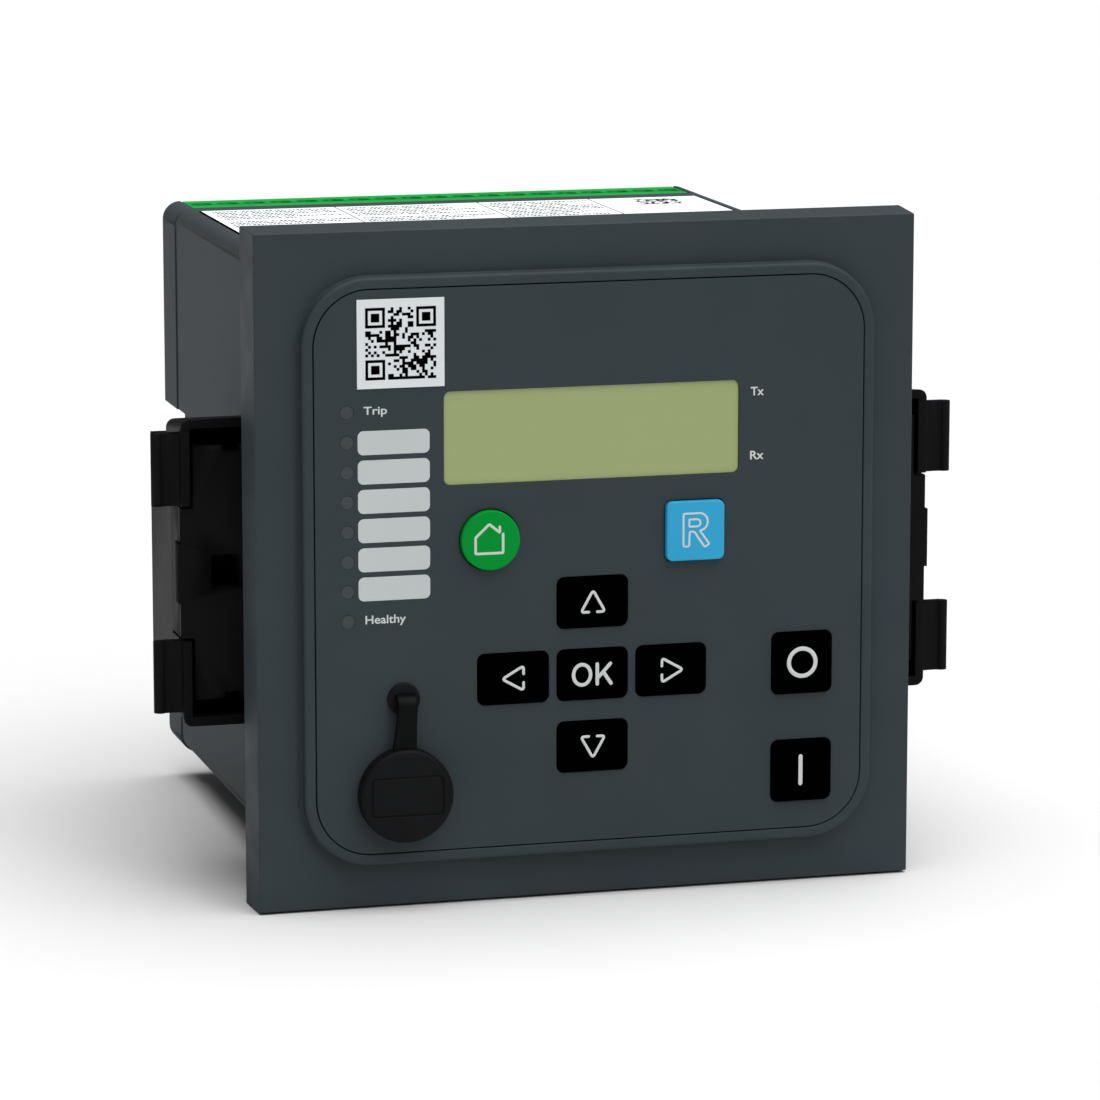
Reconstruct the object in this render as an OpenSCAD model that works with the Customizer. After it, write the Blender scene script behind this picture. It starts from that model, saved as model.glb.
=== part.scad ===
// Panel-mounted protection relay.
// Millimetres. Origin at the middle of the bezel's rear face, which lies on the panel.
// X runs to the right seen from the front, Y runs into the panel, Z runs up.

/* [Bezel] */
// Width and height of the bezel's front face
bezel_size = 152; // [148:1:160]
// How much the bezel's sides spread on each side towards the panel
bezel_draft = 0.55; // [0:0.05:1.5]
// Depth of the bezel in front of the panel
bezel_t = 12; // [10:0.5:16]
// Width of the flat border round the raised field
plateau_margin = 10; // [8:0.5:12]
// Height of the raised field above the bezel
plateau_h = 3; // [2.2:0.1:4]
// Corner radius of the raised field
plateau_r = 15.2; // [10:0.2:20]
// Rounding along the raised field's front edge
plateau_edge = 0.8; // [0.3:0.1:1.2]
// Thickness of the front wall behind the front plate
front_wall = 2.4; // [2:0.1:3]

/* [Front plate] */
// Width of the raised field's rim round the front plate
plate_margin = 2.7; // [2:0.1:3.5]
// Width of the front plate for which the places on the face are given
face_design = 126.6; // [120:0.2:132]
// Corner radius of the front plate
plate_r = 12.5; // [8:0.5:15]
// Thickness of the front plate
plate_t = 1.6; // [1.2:0.1:2]
// Gap all round the front plate in its pocket
plate_gap = 0.25; // [0.15:0.05:0.4]

/* [Display] */
// Width of the display opening
display_width = 68.1; // [60:0.1:72]
// Height of the display opening
display_height = 21; // [16:0.1:24]
// Height of the display's middle above the bezel's middle
display_up = 29.7; // [27:0.1:33]
// Thickness of the clear window
window_t = 1.2; // [0.8:0.1:1.5]
// Border of the window behind the front plate
window_border = 1.2; // [0.8:0.1:2]
// How far the window's face lies below the front plate's face
window_recess = 0.4; // [0.1:0.05:0.6]

/* [Status lights] */
// Sideways place of the row of status lights
light_across = -56; // [-58:0.1:-55]
// Height of the top status light
light_up = 36.4; // [34:0.1:40]
// Distance between status lights
light_step = 6.68; // [6.3:0.02:6.8]
// Diameter of a status light
light_d = 3; // [2:0.1:4]
// Gap round a status light in its hole
light_gap = 0.06; // [0.02:0.02:0.2]

/* [Labels] */
// Width of a write-on card
card_width = 16.45; // [12:0.05:18]
// Height of a write-on card
card_height = 5.5; // [4:0.1:6]
// Sideways place of the write-on cards
card_across = -45.45; // [-46:0.05:-44]
// Height of the top write-on card's middle
card_up = 29.48; // [28:0.02:31]
// Distance between write-on cards
card_step = 6.54; // [6.3:0.02:6.8]
// Corner radius of a write-on card
card_r = 1.35; // [0.8:0.05:2]
// Gap round a write-on card in its pocket
card_gap = 0.06; // [0.02:0.02:0.2]
// Width and height of the square label
label_width = 19.75; // [15:0.05:22]
// Sideways place of the square label
label_across = -43.8; // [-46:0.1:-40]
// Height of the square label's middle
label_up = 51.4; // [49:0.1:52]
// Thickness of cards and labels
label_t = 0.2; // [0.1:0.05:0.3]

/* [Keys] */
// Width of an arrow key
arrow_w = 16.1; // [14:0.1:17]
// Height of an arrow key
arrow_h = 11.3; // [10:0.1:13]
// Sideways distance between arrow keys
arrow_pitch_x = 18.35; // [17.6:0.05:19]
// Height distance between arrow keys
arrow_pitch_z = 16.47; // [15:0.01:17]
// Height of the middle key of the arrow group
arrow_z = -25.05; // [-27:0.05:-24]
// How far the arrow keys stand proud of the front plate
arrow_proud = 0.6; // [0.3:0.1:1.5]
// Width and height of the two switching keys
switch_size = 13.9; // [12:0.1:15]
// Sideways place of the two switching keys
switch_x = 49.25; // [48:0.05:51]
// Height distance between the two switching keys
switch_pitch = 24.95; // [20:0.05:26]
// How far the switching keys stand proud
switch_proud = 0.9; // [0.3:0.1:1.5]
// Size of the round key and the square reset key
upper_key = 13.5; // [12:0.1:14.5]
// Sideways place of the round key and the reset key
upper_key_x = 23.7; // [21:0.1:26]
// Height of the round key and the reset key
upper_key_z = 6.6; // [5.5:0.1:7.5]
// How far the round key and the reset key stand proud
upper_proud = 1.3; // [0.5:0.1:2]
// Corner radius of the keys
key_r = 1.5; // [0.8:0.1:2]
// Rounding along a key's front edge
key_edge = 0.4; // [0.2:0.05:0.6]
// Gap all round a key in its opening
key_gap = 0.25; // [0.2:0.05:0.3]
// How far a key's flange reaches past its opening
key_flange = 0.6; // [0.4:0.05:0.65]
// Thickness of a key's flange
key_flange_t = 1; // [0.8:0.1:1.2]
// How far a key travels
key_travel = 0.6; // [0.3:0.05:0.7]

/* [Service port] */
// Distance from the front plate's left edge to the service port's middle
port_side = 19.7; // [19:0.1:21]
// Distance from the front plate's lower edge to the service port's middle
port_rise = 13.5; // [13:0.1:14.5]
// Diameter of the port's cap
cap_d = 21.2; // [19:0.1:22]
// Thickness of the port's cap
cap_t = 4; // [3:0.1:5]
// Rounding of the cap's front rim
cap_edge = 1; // [0.5:0.1:1.4]
// Diameter of the plug on the back of the cap
plug_d = 15.2; // [14:0.1:16]
// Length of the plug on the back of the cap
plug_l = 1.5; // [1:0.1:1.8]
// Gap between the plug and its recess
plug_gap = 0.45; // [0.4:0.05:0.7]
// Distance from the port's middle up to the anchor button's middle
anchor_rise = 21.4; // [20.6:0.1:22.5]
// Diameter of the anchor button
anchor_d = 7.4; // [6.5:0.1:9]
// Width of the strap between button and cap
strap_w = 4.5; // [3.5:0.1:5]
// Thickness of the strap
strap_t = 1.3; // [1:0.1:1.6]

/* [Case] */
// How far the bezel's face reaches past the case on each side
bezel_overhang = 8.8; // [8:0.1:9.5]
// How far the case's middle lies below the bezel's middle
case_drop = 0.4; // [0:0.1:1]
// Corner radius of the case
case_r = 4; // [3.6:0.1:6]
// Wall thickness of the case
case_wall = 2.2; // [1.8:0.1:2.6]
// Depth of the case behind the panel up to the seam
case_d = 119; // [110:1:135]
// Depth of the rear cover
cover_d = 15; // [14.5:0.5:20]
// Width of the seam between case and rear cover
seam_w = 0.4; // [0.2:0.1:0.8]
// Length of the case's front collar inside the bezel
collar_l = 4.5; // [3:0.1:5]
// Wall thickness of the collar
collar_wall = 2; // [1.5:0.1:2.4]
// Gap between pieces that slide into each other once
fit_gap = 0.2; // [0.1:0.05:0.3]
// Thickness of the printed circuit boards
board_t = 1.6; // [1.2:0.1:2]

/* [Mounting clips] */
// Height of the clips' middle
clip_z = -2.9; // [-5:0.1:0]
// Height of a clip
clip_h = 70; // [66:1:76]
// How much the clip's frame narrows towards the rear at each end
clip_narrowing = 2.2; // [0:0.1:2.5]
// How far a clip reaches out from the case
clip_w = 20.7; // [18:0.1:24]
// Distance between panel face and clip at rest
clip_y = 11.5; // [10.5:0.1:14]
// Depth of a clip's frame
clip_d = 17; // [15:0.5:20]
// Wall thickness of a clip's frame
clip_wall = 2.1; // [1.8:0.1:2.6]
// Depth of the hollow in a clip's front
clip_hollow = 12; // [9:0.5:12.5]
// How far a clip's tail reaches behind its frame
tail_l = 19; // [14:0.5:22]
// Height of a clip's tail
tail_h = 54; // [48:1:58]
// How far a clip's finger tabs stand out
tab_reach = 6.4; // [4:0.1:8]
// Height of a finger tab
tab_h = 16.4; // [12:0.1:17]
// Height of the channel mouth in the case's side
channel_h = 40.8; // [38:0.2:44]
// Depth of the channel below its lips
channel_depth = 3; // [2.6:0.1:3.6]
// Thickness of the channel's lips
lip_t = 1.6; // [1.4:0.1:2]
// Reach of the channel's lips
lip_w = 3; // [2:0.1:4]
// Running gap between clip and channel
slide_gap = 0.3; // [0.25:0.05:0.4]
// Distance between the teeth of the ratchet
tooth_pitch = 2.5; // [2:0.1:4]
// Height of the ratchet teeth
tooth_h = 0.8; // [0.5:0.1:1]

/* [Terminals] */
// Number of ways in the upper terminal strip
upper_ways = 19; // [12:1:19]
// Distance from the case's left side to the upper strip
strip_left = 4.5; // [4.5:0.1:8]
// Distance from the case's right side to the upper strip
strip_right = 4.5; // [4.5:0.1:8]
// Height of the upper strip
upper_h = 18; // [16:0.5:20]
// Diameter of the screw holes in the upper strip
upper_hole = 5; // [4:0.1:5.4]
// Width and height of a wire entry
entry_size = 3.8; // [3:0.1:3.9]
// Number of columns in the lower terminal block
lower_ways = 6; // [3:1:6]
// Distance between the columns of the lower block
lower_pitch = 15; // [14:0.5:16]
// Height of the lower terminal block
lower_h = 32; // [29:1:34]
// How far the lower block stands out behind the cover
lower_proud = 4; // [3.2:0.1:6]

/* [Hidden] */
$fn = 64;

over = 1;
far = 400;

// Levels from the front face back to the circuit board
bezel_front = -bezel_t;
face_y = bezel_front - plateau_h;
plate_back = face_y + plate_t;
wall_back = plate_back + front_wall;
flange_back = wall_back + key_flange_t;
plunger_l = 0.3;
plunger_d = 5;
press_gap = 0.2;
dome_top = flange_back + plunger_l + key_travel + press_gap;
dome_h = 1.1;
mat_t = 0.8;
board_front = dome_top + dome_h + mat_t;
board_back = board_front + board_t;

// Places and sizes on the face, which follow the front plate's size
plateau_size = bezel_size - 2 * plateau_margin;
plate_size = plateau_size - 2 * plate_margin;
face_fit = plate_size / face_design;
display_w = face_fit * display_width;
display_h = face_fit * display_height;
display_z = face_fit * display_up;
window_w = display_w + 2 * window_border;
window_h = display_h + 2 * window_border;
glass_t = 2.4;
glass_back = plate_back + window_t + glass_t;
frame_rim = 2.5;
light_x = face_fit * light_across;
light_top_z = face_fit * light_up;
light_pitch = face_fit * light_step;
light_recess = 0.1;
led_w = 3.2;
led_tall = 2;
led_h = 1.4;
card_w = face_fit * card_width;
card_h = face_fit * card_height;
card_x = face_fit * card_across;
card_top_z = face_fit * card_up;
card_pitch = face_fit * card_step;
label_side = face_fit * label_width;
label_x = face_fit * label_across;
label_z = face_fit * label_up;
port_x = port_side - plate_size / 2;
port_z = port_rise - plate_size / 2;
anchor_z = port_z + anchor_rise;

// Front board and its fixings
board_margin = 2.3;
front_board_size = plate_size - 2 * board_margin;
board_corner = 9;
post_near = 20;
post_wide = 40;
post_high = 54;
post_low = 56;
board_posts = face_fit * [
  [-post_near, post_high], [post_wide, post_high], [post_near, -post_low], [-post_near, -post_low]
];
post_d = 5.2;
screw_d = 2.2;
screw_head_d = 4.6;
screw_head_t = 1.6;
screw_grip = 3;

// Case levels
case_size = bezel_size - 2 * bezel_overhang;
case_top = case_size / 2 - case_drop;
case_bottom = -case_size / 2 - case_drop;
case_in = case_size - 2 * case_wall;
collar_size = case_in + 2 * fit_gap;
collar_in = collar_size - 2 * collar_wall;
collar_back = 6;
cavity_size = collar_size + 2 * fit_gap;
cover_front = case_d + seam_w;
cover_back = cover_front + cover_d;
cover_wall = 2.4;
cover_step = 0.3;
cover_size = case_size + 2 * cover_step;
tongue_l = 4;
rebate = 1.5;
side = case_size / 2;
rating_front = 4;
rating_end = 9;
rating_back = case_d - rating_end;
rating_trim = 1.5;
rating_w = case_size - 2 * case_r - rating_trim;

// Corner posts that take the case screws
corner_in = 5;
corner_post = case_in / 2 - corner_in;
corner_post_d = 5.8;
cover_boss_wall = 1;
cover_boss_d = corner_post_d + 2 * cover_boss_wall;
case_screw_d = 3;
case_screw_head_d = 5.6;
case_screw_head_t = 2.2;
head_recess = 3;
tab_t = 2.5;
tab_size = 11;
cover_post_l = 24;
cover_post_end = case_d - tongue_l - over;
case_screw_grip = 5;
cover_screw_grip = 8;

// Channel for the mounting clips
channel_in_h = channel_h + 2 * lip_w;
channel_floor = side - lip_t - channel_depth;
channel_wall = 2;
channel_front = 3.5;
rack_h = 9;
rack_start = 12;
tooth_count = floor((case_d - 2 * rack_start) / tooth_pitch);
foot_h = channel_in_h - 2 * slide_gap;
neck_h = channel_h - 2 * slide_gap;
foot_in = channel_floor + slide_gap;
foot_out = side - lip_t - slide_gap;
clip_in = side + slide_gap;
clip_out = side + clip_w;
clip_r = 2;
inner_r = 0.5;
lever_gap = 0.6;
lever_inset = 3.8;
lever_h = clip_h - 2 * (tab_h + lever_inset);
tail_back = clip_y + clip_d + tail_l;
tail_t = 3.2;
tail_web = 2.4;
inner_set = 0.5;
inner_y = clip_y + inner_set;
inner_gap_x = 0.8;
inner_reach = clip_out - clip_wall - inner_gap_x;
inner_gap_z = 4;
groove_t = 0.4;
groove_depth = 1.2;
plate_front_t = 3.2;
boss_h = 13.6;
boss_out = 0.7;
boss_d = 5;
pocket_size = [7.5, 8];
pocket_in = 10.45;
pocket_x = clip_out - pocket_in;
notch_size = [4.2, 1.5];
notch_in = 11.6;
notch_x = clip_out - notch_in;

cover_screw_low = case_bottom + case_wall + corner_in;
cover_screw_rise = 8;
cover_screw_high = clip_z + channel_in_h / 2 + channel_wall + cover_screw_rise;

// Terminals
upper_l = case_size - strip_left - strip_right;
upper_x = (strip_left - strip_right) / 2;
upper_pitch = upper_l / upper_ways;
upper_gap = 0.3;
upper_drop = 0.1;
upper_top = case_top - upper_drop;
upper_base = upper_top - upper_h;
upper_front = cover_front + upper_gap;
upper_inset = 0.5;
upper_back = cover_back - upper_inset;
upper_mid = (upper_front + upper_back) / 2;
pocket_wall = 2;
pocket_front = cover_front - pocket_wall;
upper_edge = 1.4;
upper_hole_depth = 3.2;
entry_rise = 6;
entry_z = upper_base + entry_rise;
entry_depth = 9;
lower_rim = 2;
lower_l = lower_ways * lower_pitch + 2 * lower_rim;
lower_rise = 30;
lower_z = case_bottom + lower_rise;
lower_t = 14;
lower_floor = 3;
lower_back = cover_back + lower_proud;
lower_rows = [-7, 7];
cell_wall = 2.4;
cell_w = lower_pitch - cell_wall;
cell_h = 10;
cell_depth = 3;
lower_screw_head_d = 7;
lower_screw_head_t = 2.2;
lower_shank_l = 7;
slot_w = 1;
earth_in = 15.2;
earth_x = side - earth_in;
earth_z = 18;
earth_d = 4;
washer_d = 10;
washer_t = 1;
earth_head_d = 7.6;
earth_head_t = 2.6;
earth_shank_l = 8;

// Boards in the case
board_w = case_in - 2 * fit_gap;
board_start = 8;
output_drop = 4;
output_z = upper_base - pocket_wall - output_drop;
supply_rise = 12;
supply_z = case_bottom + supply_rise;
output_end = pocket_front - pocket_wall;
supply_end = cover_post_end;
guide_t = 1.6;
guide_reach = 3;
relay_size = [12.6, 29, 15];
relay_pitch = 14.2;
relay_count = 7;
relay_rear = 17;
transformer_size = [24, 28, 30];
transformer_count = 4;
transformer_pitch = 27;
transformer_rear = 12;
window_d = 8;
window_rise = 3;
winding_size = [34, 28, 22];
winding_place = [-30, 34];
bobbin_d = 18;
bobbin_over = 3;
capacitor_d = 14;
capacitor_h = 26;
capacitor_pitch = 18;
capacitor_place = [12, 34];
capacitor_count = 3;
link_w = 30;
link_h = 6;

// Keys: sideways place, height, width, height, corner radius, proud
function key_spec(x, z, w, h, r, proud) = concat(face_fit * [x, z, w, h, r], proud);
function arrow_spec(x, z) = key_spec(x, z, arrow_w, arrow_h, key_r, arrow_proud);
function switch_spec(z) = key_spec(switch_x, z, switch_size, switch_size, key_r, switch_proud);
function upper_spec(x, r) = key_spec(x, upper_key_z, upper_key, upper_key, r, upper_proud);
home_spec = upper_spec(-upper_key_x, upper_key / 2);
reset_spec = upper_spec(upper_key_x, key_r);
up_spec = arrow_spec(0, arrow_z + arrow_pitch_z);
down_spec = arrow_spec(0, arrow_z - arrow_pitch_z);
left_spec = arrow_spec(-arrow_pitch_x, arrow_z);
right_spec = arrow_spec(arrow_pitch_x, arrow_z);
ok_spec = arrow_spec(0, arrow_z);
open_spec = switch_spec(arrow_z);
close_spec = switch_spec(arrow_z - switch_pitch);
key_specs = [
  home_spec, reset_spec, up_spec, down_spec, left_spec,
  right_spec, ok_spec, open_spec, close_spec
];
dome_d = 10;
dome_tip_d = 6;
mat_margin = 1;
mat_r = 3;
mat_left = home_spec[0] - dome_d / 2 - mat_margin;
mat_right = close_spec[0] + dome_d / 2 + mat_margin;
mat_low = close_spec[1] - dome_d / 2 - mat_margin;
mat_high = display_z - window_h / 2 - frame_rim - mat_margin;
light_count = 8;
card_rows = [0 : light_count - 3];

// Service port
cap_lift = 0.2;
cap_back = face_y - cap_lift;
hinge_out = 0.7;
hinge_drop = 2.3;
hinge_y = cap_back - cap_t / 2 - hinge_out;
hinge_z = anchor_z - hinge_drop;
anchor_stem_d = 3.8;
button_t = 1;
barb_d = 5.4;
barb_t = 1.2;
hump_gap = 0.6;
hump_rise = 1.2;
hump_r = 1.1;
socket_w = 11.6;
socket_h = 10.6;
socket_set = 0.5;
socket_front = face_y + plug_l + socket_set;
socket_l = 15;

// Flat outlines in the X-Z plane
module pane(w, h, r) {
  square([w - 2 * r, h], center = true);
  square([w, h - 2 * r], center = true);
  for (sx = [-1, 1], sz = [-1, 1])
    translate([sx * (w / 2 - r), sz * (h / 2 - r)]) circle(r = r);
}

// Carries a flat outline from one depth to another
module prism(y0, y1) {
  translate([0, y1, 0]) rotate([90, 0, 0]) linear_extrude(y1 - y0) children();
}

// Box given by its two corners
module box(low, high) {
  translate(low) cube(high - low);
}

// Round bar along the depth
module rod(x, z, d, y0, y1) {
  translate([x, y0, z]) rotate([-90, 0, 0]) cylinder(d = d, h = y1 - y0);
}

// Cross-section of a slab with rounded front edges
module slab_section(w, t, e) {
  translate([-w / 2, 0]) square([w, t - e]);
  translate([e - w / 2, 0]) square([w - 2 * e, t]);
  for (s = [-1, 1]) translate([s * (w / 2 - e), t - e]) circle(r = e);
}

// Half of that cross-section, to be turned about its inner edge
module edge_section(r, t, e) {
  square([r, t - e]);
  square([r - e, t]);
  translate([r - e, t - e]) circle(r = e);
}

// Slab with round corners and a rounded front edge, its back on the given depth
module soft_slab(x, y, z, w, h, r, t, e) {
  translate([x, y, z]) rotate([90, 0, 0]) {
    if (2 * r >= w) rotate_extrude() edge_section(r, t, e);
    else {
      rotate([90, 0, 0]) linear_extrude(h - 2 * r, center = true) slab_section(w, t, e);
      rotate([90, 0, 90]) linear_extrude(w - 2 * r, center = true) slab_section(h, t, e);
      for (sx = [-1, 1], sz = [-1, 1])
        translate([sx * (w / 2 - r), sz * (h / 2 - r), 0]) rotate_extrude() edge_section(r, t, e);
    }
  }
}

// Outline of a key, grown by a margin on every side
module key_outline(spec, margin) {
  w = spec[2] + 2 * margin;
  h = spec[3] + 2 * margin;
  r = spec[4] + margin;
  translate([spec[0], spec[1]])
    if (2 * r >= w) circle(r = r);
    else pane(w, h, r);
}

function light_z(i) = light_top_z - i * light_pitch;

module light_holes(d) {
  for (i = [0 : light_count - 1])
    translate([light_x, light_z(i)]) circle(d = d, $fn = 32);
}

module card_places() {
  for (i = card_rows) translate([card_x, card_top_z - i * card_pitch]) children();
}

module cover_screw_places() {
  for (sx = [-1, 1], z = [cover_screw_low, cover_screw_high])
    translate([sx * corner_post, z]) children();
}

module corner_places(reach) {
  for (sx = [-1, 1], sz = [-1, 1]) translate([sx * reach, sz * reach - case_drop]) children();
}

// Holes that the front plate and the bezel's wall share
module face_holes() {
  for (spec = key_specs) key_outline(spec, key_gap);
  light_holes(light_d + 2 * light_gap);
  translate([port_x, port_z]) circle(d = plug_d + 2 * plug_gap);
  translate([port_x, anchor_z]) circle(d = anchor_stem_d + 2 * fit_gap);
}

module bezel_block() {
  half = bezel_size / 2;
  wide = half + bezel_draft;
  outline = [[-half, -bezel_t], [half, -bezel_t], [wide, 0], [-wide, 0]];
  intersection() {
    linear_extrude(far, center = true) polygon(outline);
    rotate([0, 90, 0]) linear_extrude(far, center = true) polygon(outline);
  }
}

module front_bezel() {
  color("#373d41") {
    difference() {
      union() {
        bezel_block();
        soft_slab(0, bezel_front + over, 0, plateau_size, plateau_size, plateau_r,
                  plateau_h + over, plateau_edge);
      }
      prism(face_y - over, plate_back)
        pane(plate_size + 2 * plate_gap, plate_size + 2 * plate_gap, plate_r + plate_gap);
      translate([0, 0, -case_drop]) {
        prism(wall_back, over) square(cavity_size, center = true);
        prism(-rebate, over)
          pane(case_size + 2 * fit_gap, case_size + 2 * fit_gap, case_r + fit_gap);
      }
      prism(plate_back - over, wall_back + over) {
        face_holes();
        translate([0, display_z])
          square([window_w + 2 * fit_gap, window_h + 2 * fit_gap], center = true);
      }
    }
    for (p = board_posts) difference() {
      rod(p[0], p[1], post_d, wall_back, board_front);
      rod(p[0], p[1], screw_d, board_front - screw_grip - fit_gap, board_front + over);
    }
    difference() {
      prism(wall_back, -rebate - tab_t) corner_places(corner_post) circle(d = corner_post_d);
      prism(-rebate - tab_t - case_screw_grip - fit_gap, 0)
        corner_places(corner_post) circle(d = case_screw_d);
    }
  }
}

module front_plate() {
  color("#363c40") difference() {
    prism(face_y, plate_back) pane(plate_size, plate_size, plate_r);
    prism(face_y - over, plate_back + over) {
      face_holes();
      translate([0, display_z]) pane(display_w, display_h, key_r);
    }
    prism(face_y - over, face_y + label_t) card_places() pane(card_w, card_h, card_r);
  }
}

module display_window() {
  color("#98a473") translate([0, 0, display_z]) {
    prism(plate_back, plate_back + window_t) square([window_w, window_h], center = true);
    prism(face_y + window_recess, plate_back + window_t)
      pane(display_w - 2 * light_gap, display_h - 2 * light_gap, key_r - light_gap);
  }
}

module display_glass() {
  color("#8c9868") prism(plate_back + window_t, glass_back)
    translate([0, display_z]) square([window_w, window_h], center = true);
}

module display_frame() {
  color("#22262a") prism(glass_back, board_front) translate([0, display_z])
    square([window_w + 2 * frame_rim, window_h + 2 * frame_rim], center = true);
}

module light_guides() {
  color("#50575b") for (i = [0 : light_count - 1])
    rod(light_x, light_z(i), light_d, face_y + light_recess, board_front - led_h);
}

module status_leds() {
  color("#e8e6d8") for (i = [0 : light_count - 1])
    translate([light_x - led_w / 2, board_front - led_h, light_z(i) - led_tall / 2])
      cube([led_w, led_h, led_tall]);
}

module write_on_cards() {
  color("#bbc1bf") prism(face_y, face_y + label_t)
    card_places() pane(card_w - 2 * card_gap, card_h - 2 * card_gap, card_r - card_gap);
}

module square_label() {
  color("#d5dadc") prism(face_y - label_t, face_y)
    translate([label_x, label_z]) square(label_side, center = true);
}

module rating_label() {
  color("#eef0f0") translate([-rating_trim / 2, rating_front, case_top]) linear_extrude(label_t)
    translate([-rating_w / 2, 0]) square([rating_w, rating_back - rating_front]);
}

module key_cap(spec) {
  soft_slab(spec[0], wall_back, spec[1], spec[2], spec[3], spec[4],
            wall_back - face_y + spec[5], key_edge);
  prism(wall_back, flange_back) key_outline(spec, key_gap + key_flange);
  rod(spec[0], spec[1], plunger_d, flange_back, flange_back + plunger_l);
}

module home_key() { color("#00862b") key_cap(home_spec); }

module reset_key() { color("#3399c8") key_cap(reset_spec); }

module up_key() { color("#0a0a0b") key_cap(up_spec); }

module down_key() { color("#0a0a0b") key_cap(down_spec); }

module left_key() { color("#0a0a0b") key_cap(left_spec); }

module right_key() { color("#0a0a0b") key_cap(right_spec); }

module ok_key() { color("#0a0a0b") key_cap(ok_spec); }

module open_key() { color("#0a0a0b") key_cap(open_spec); }

module close_key() { color("#0a0a0b") key_cap(close_spec); }

module keypad_mat() {
  color("#74797c") {
    difference() {
      prism(board_front - mat_t, board_front)
        translate([(mat_left + mat_right) / 2, (mat_low + mat_high) / 2])
          pane(mat_right - mat_left, mat_high - mat_low, mat_r);
      for (p = board_posts)
        rod(p[0], p[1], post_d + 2 * mat_margin, board_front - over - mat_t, board_front + over);
    }
    for (spec = key_specs) translate([spec[0], board_front - mat_t, spec[1]])
      rotate([90, 0, 0]) cylinder(d1 = dome_d, d2 = dome_tip_d, h = dome_h);
  }
}

module front_board() {
  half = front_board_size / 2;
  color("#1d6b3a") difference() {
    prism(board_front, board_back) difference() {
      square(front_board_size, center = true);
      for (sx = [-1, 1], sz = [-1, 1]) translate([sx * half, sz * half])
        square(2 * board_corner, center = true);
      translate([port_x, port_z])
        square([socket_w + 2 * fit_gap, socket_h + 2 * fit_gap], center = true);
    }
    for (p = board_posts)
      rod(p[0], p[1], screw_d + 2 * fit_gap, board_front - over, board_back + over);
  }
}

module board_screw(x, z) {
  rod(x, z, screw_d, board_front - screw_grip, board_back + over / 2);
  difference() {
    rod(x, z, screw_head_d, board_back, board_back + screw_head_t);
    rod(x, z, screw_head_d / 2, board_back + screw_head_t / 2, board_back + screw_head_t + over);
  }
}

module front_board_screws() {
  color("#b9bcc0") for (p = board_posts) board_screw(p[0], p[1]);
}

module service_socket() {
  mouth = [8.5, 7.8];
  mouth_l = 9;
  corner = 0.9;
  tongue = [5.6, 3.2];
  color("#aeb2b6") translate([port_x, 0, port_z]) {
    difference() {
      prism(socket_front, socket_front + socket_l) square([socket_w, socket_h], center = true);
      prism(socket_front - over, socket_front + mouth_l) difference() {
        square(mouth, center = true);
        for (s = [-1, 1]) translate([s * mouth[0] / 2, mouth[1] / 2])
          rotate(45) square(corner * sqrt(2), center = true);
      }
    }
    prism(socket_front + corner, socket_front + mouth_l + over) square(tongue, center = true);
  }
}

module cap_anchor() {
  hump_y = hinge_y - strap_t / 2;
  hump_low = hinge_z + strap_t / 2 + hump_gap;
  hump_high = anchor_z + hump_rise;
  hump_t = face_y - button_t - hump_y;
  color("#18191b") {
    rod(port_x, anchor_z, anchor_d, face_y - button_t, face_y);
    rod(port_x, anchor_z, anchor_stem_d, face_y, wall_back);
    rod(port_x, anchor_z, barb_d, wall_back, wall_back + barb_t);
    translate([port_x, 0, 0]) rotate([90, 0, 90]) linear_extrude(strap_w, center = true) {
      translate([hump_y, hump_low]) square([hump_t, hump_high - hump_low - hump_r]);
      translate([hump_y + hump_r, hump_low]) square([hump_t - hump_r, hump_high - hump_low]);
      translate([hump_y + hump_r, hump_high - hump_r]) circle(r = hump_r);
    }
  }
}

module service_cap() {
  cap_r = cap_d / 2;
  plug_wall = 1.6;
  mark = [16.6, 9];
  mark_r = 1.2;
  mark_line = 0.4;
  mark_depth = 0.3;
  strap_root = 1.5;
  strap_low = port_z + cap_r - strap_root;
  root_y = cap_back - cap_t / 2;
  lean = atan2(root_y - hinge_y, hinge_z - strap_low);
  strap_l = norm([root_y - hinge_y, hinge_z - strap_low]);
  color("#18191b") {
    difference() {
      translate([port_x, cap_back, port_z]) rotate([90, 0, 0]) rotate_extrude($fn = 96)
        edge_section(cap_r, cap_t, cap_edge);
      prism(cap_back - cap_t - over, cap_back - cap_t + mark_depth)
        translate([port_x, port_z]) difference() {
          pane(mark[0], mark[1], mark_r);
          pane(mark[0] - 2 * mark_line, mark[1] - 2 * mark_line, mark_r - mark_line);
        }
    }
    difference() {
      rod(port_x, port_z, plug_d, cap_back, cap_back + plug_l);
      rod(port_x, port_z, plug_d - 2 * plug_wall, cap_back, cap_back + plug_l + over);
    }
    translate([port_x, hinge_y, hinge_z]) rotate([lean, 0, 0]) rotate([90, 0, 90])
      linear_extrude(strap_w, center = true) {
        circle(d = strap_t, $fn = 32);
        translate([-strap_t / 2, -strap_l]) square([strap_t, strap_l]);
      }
  }
}

// Channel outline across the case's right side, widest below the lips
module channel_section(margin) {
  translate([channel_floor - margin, -channel_in_h / 2 - margin])
    square([channel_depth + 2 * margin, channel_in_h + 2 * margin]);
  translate([channel_floor, -channel_h / 2]) square([far, channel_h]);
}

module both_sides() {
  children();
  mirror([1, 0, 0]) children();
}

// Block that backs the channel in the case's and the cover's right side
module channel_block(y0, y1, margin) {
  prism(y0, y1) translate([channel_floor - channel_wall - margin, clip_z])
    translate([0, -channel_in_h / 2 - channel_wall - margin])
      square([side - channel_floor + margin, channel_in_h + 2 * (channel_wall + margin)]);
}

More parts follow.
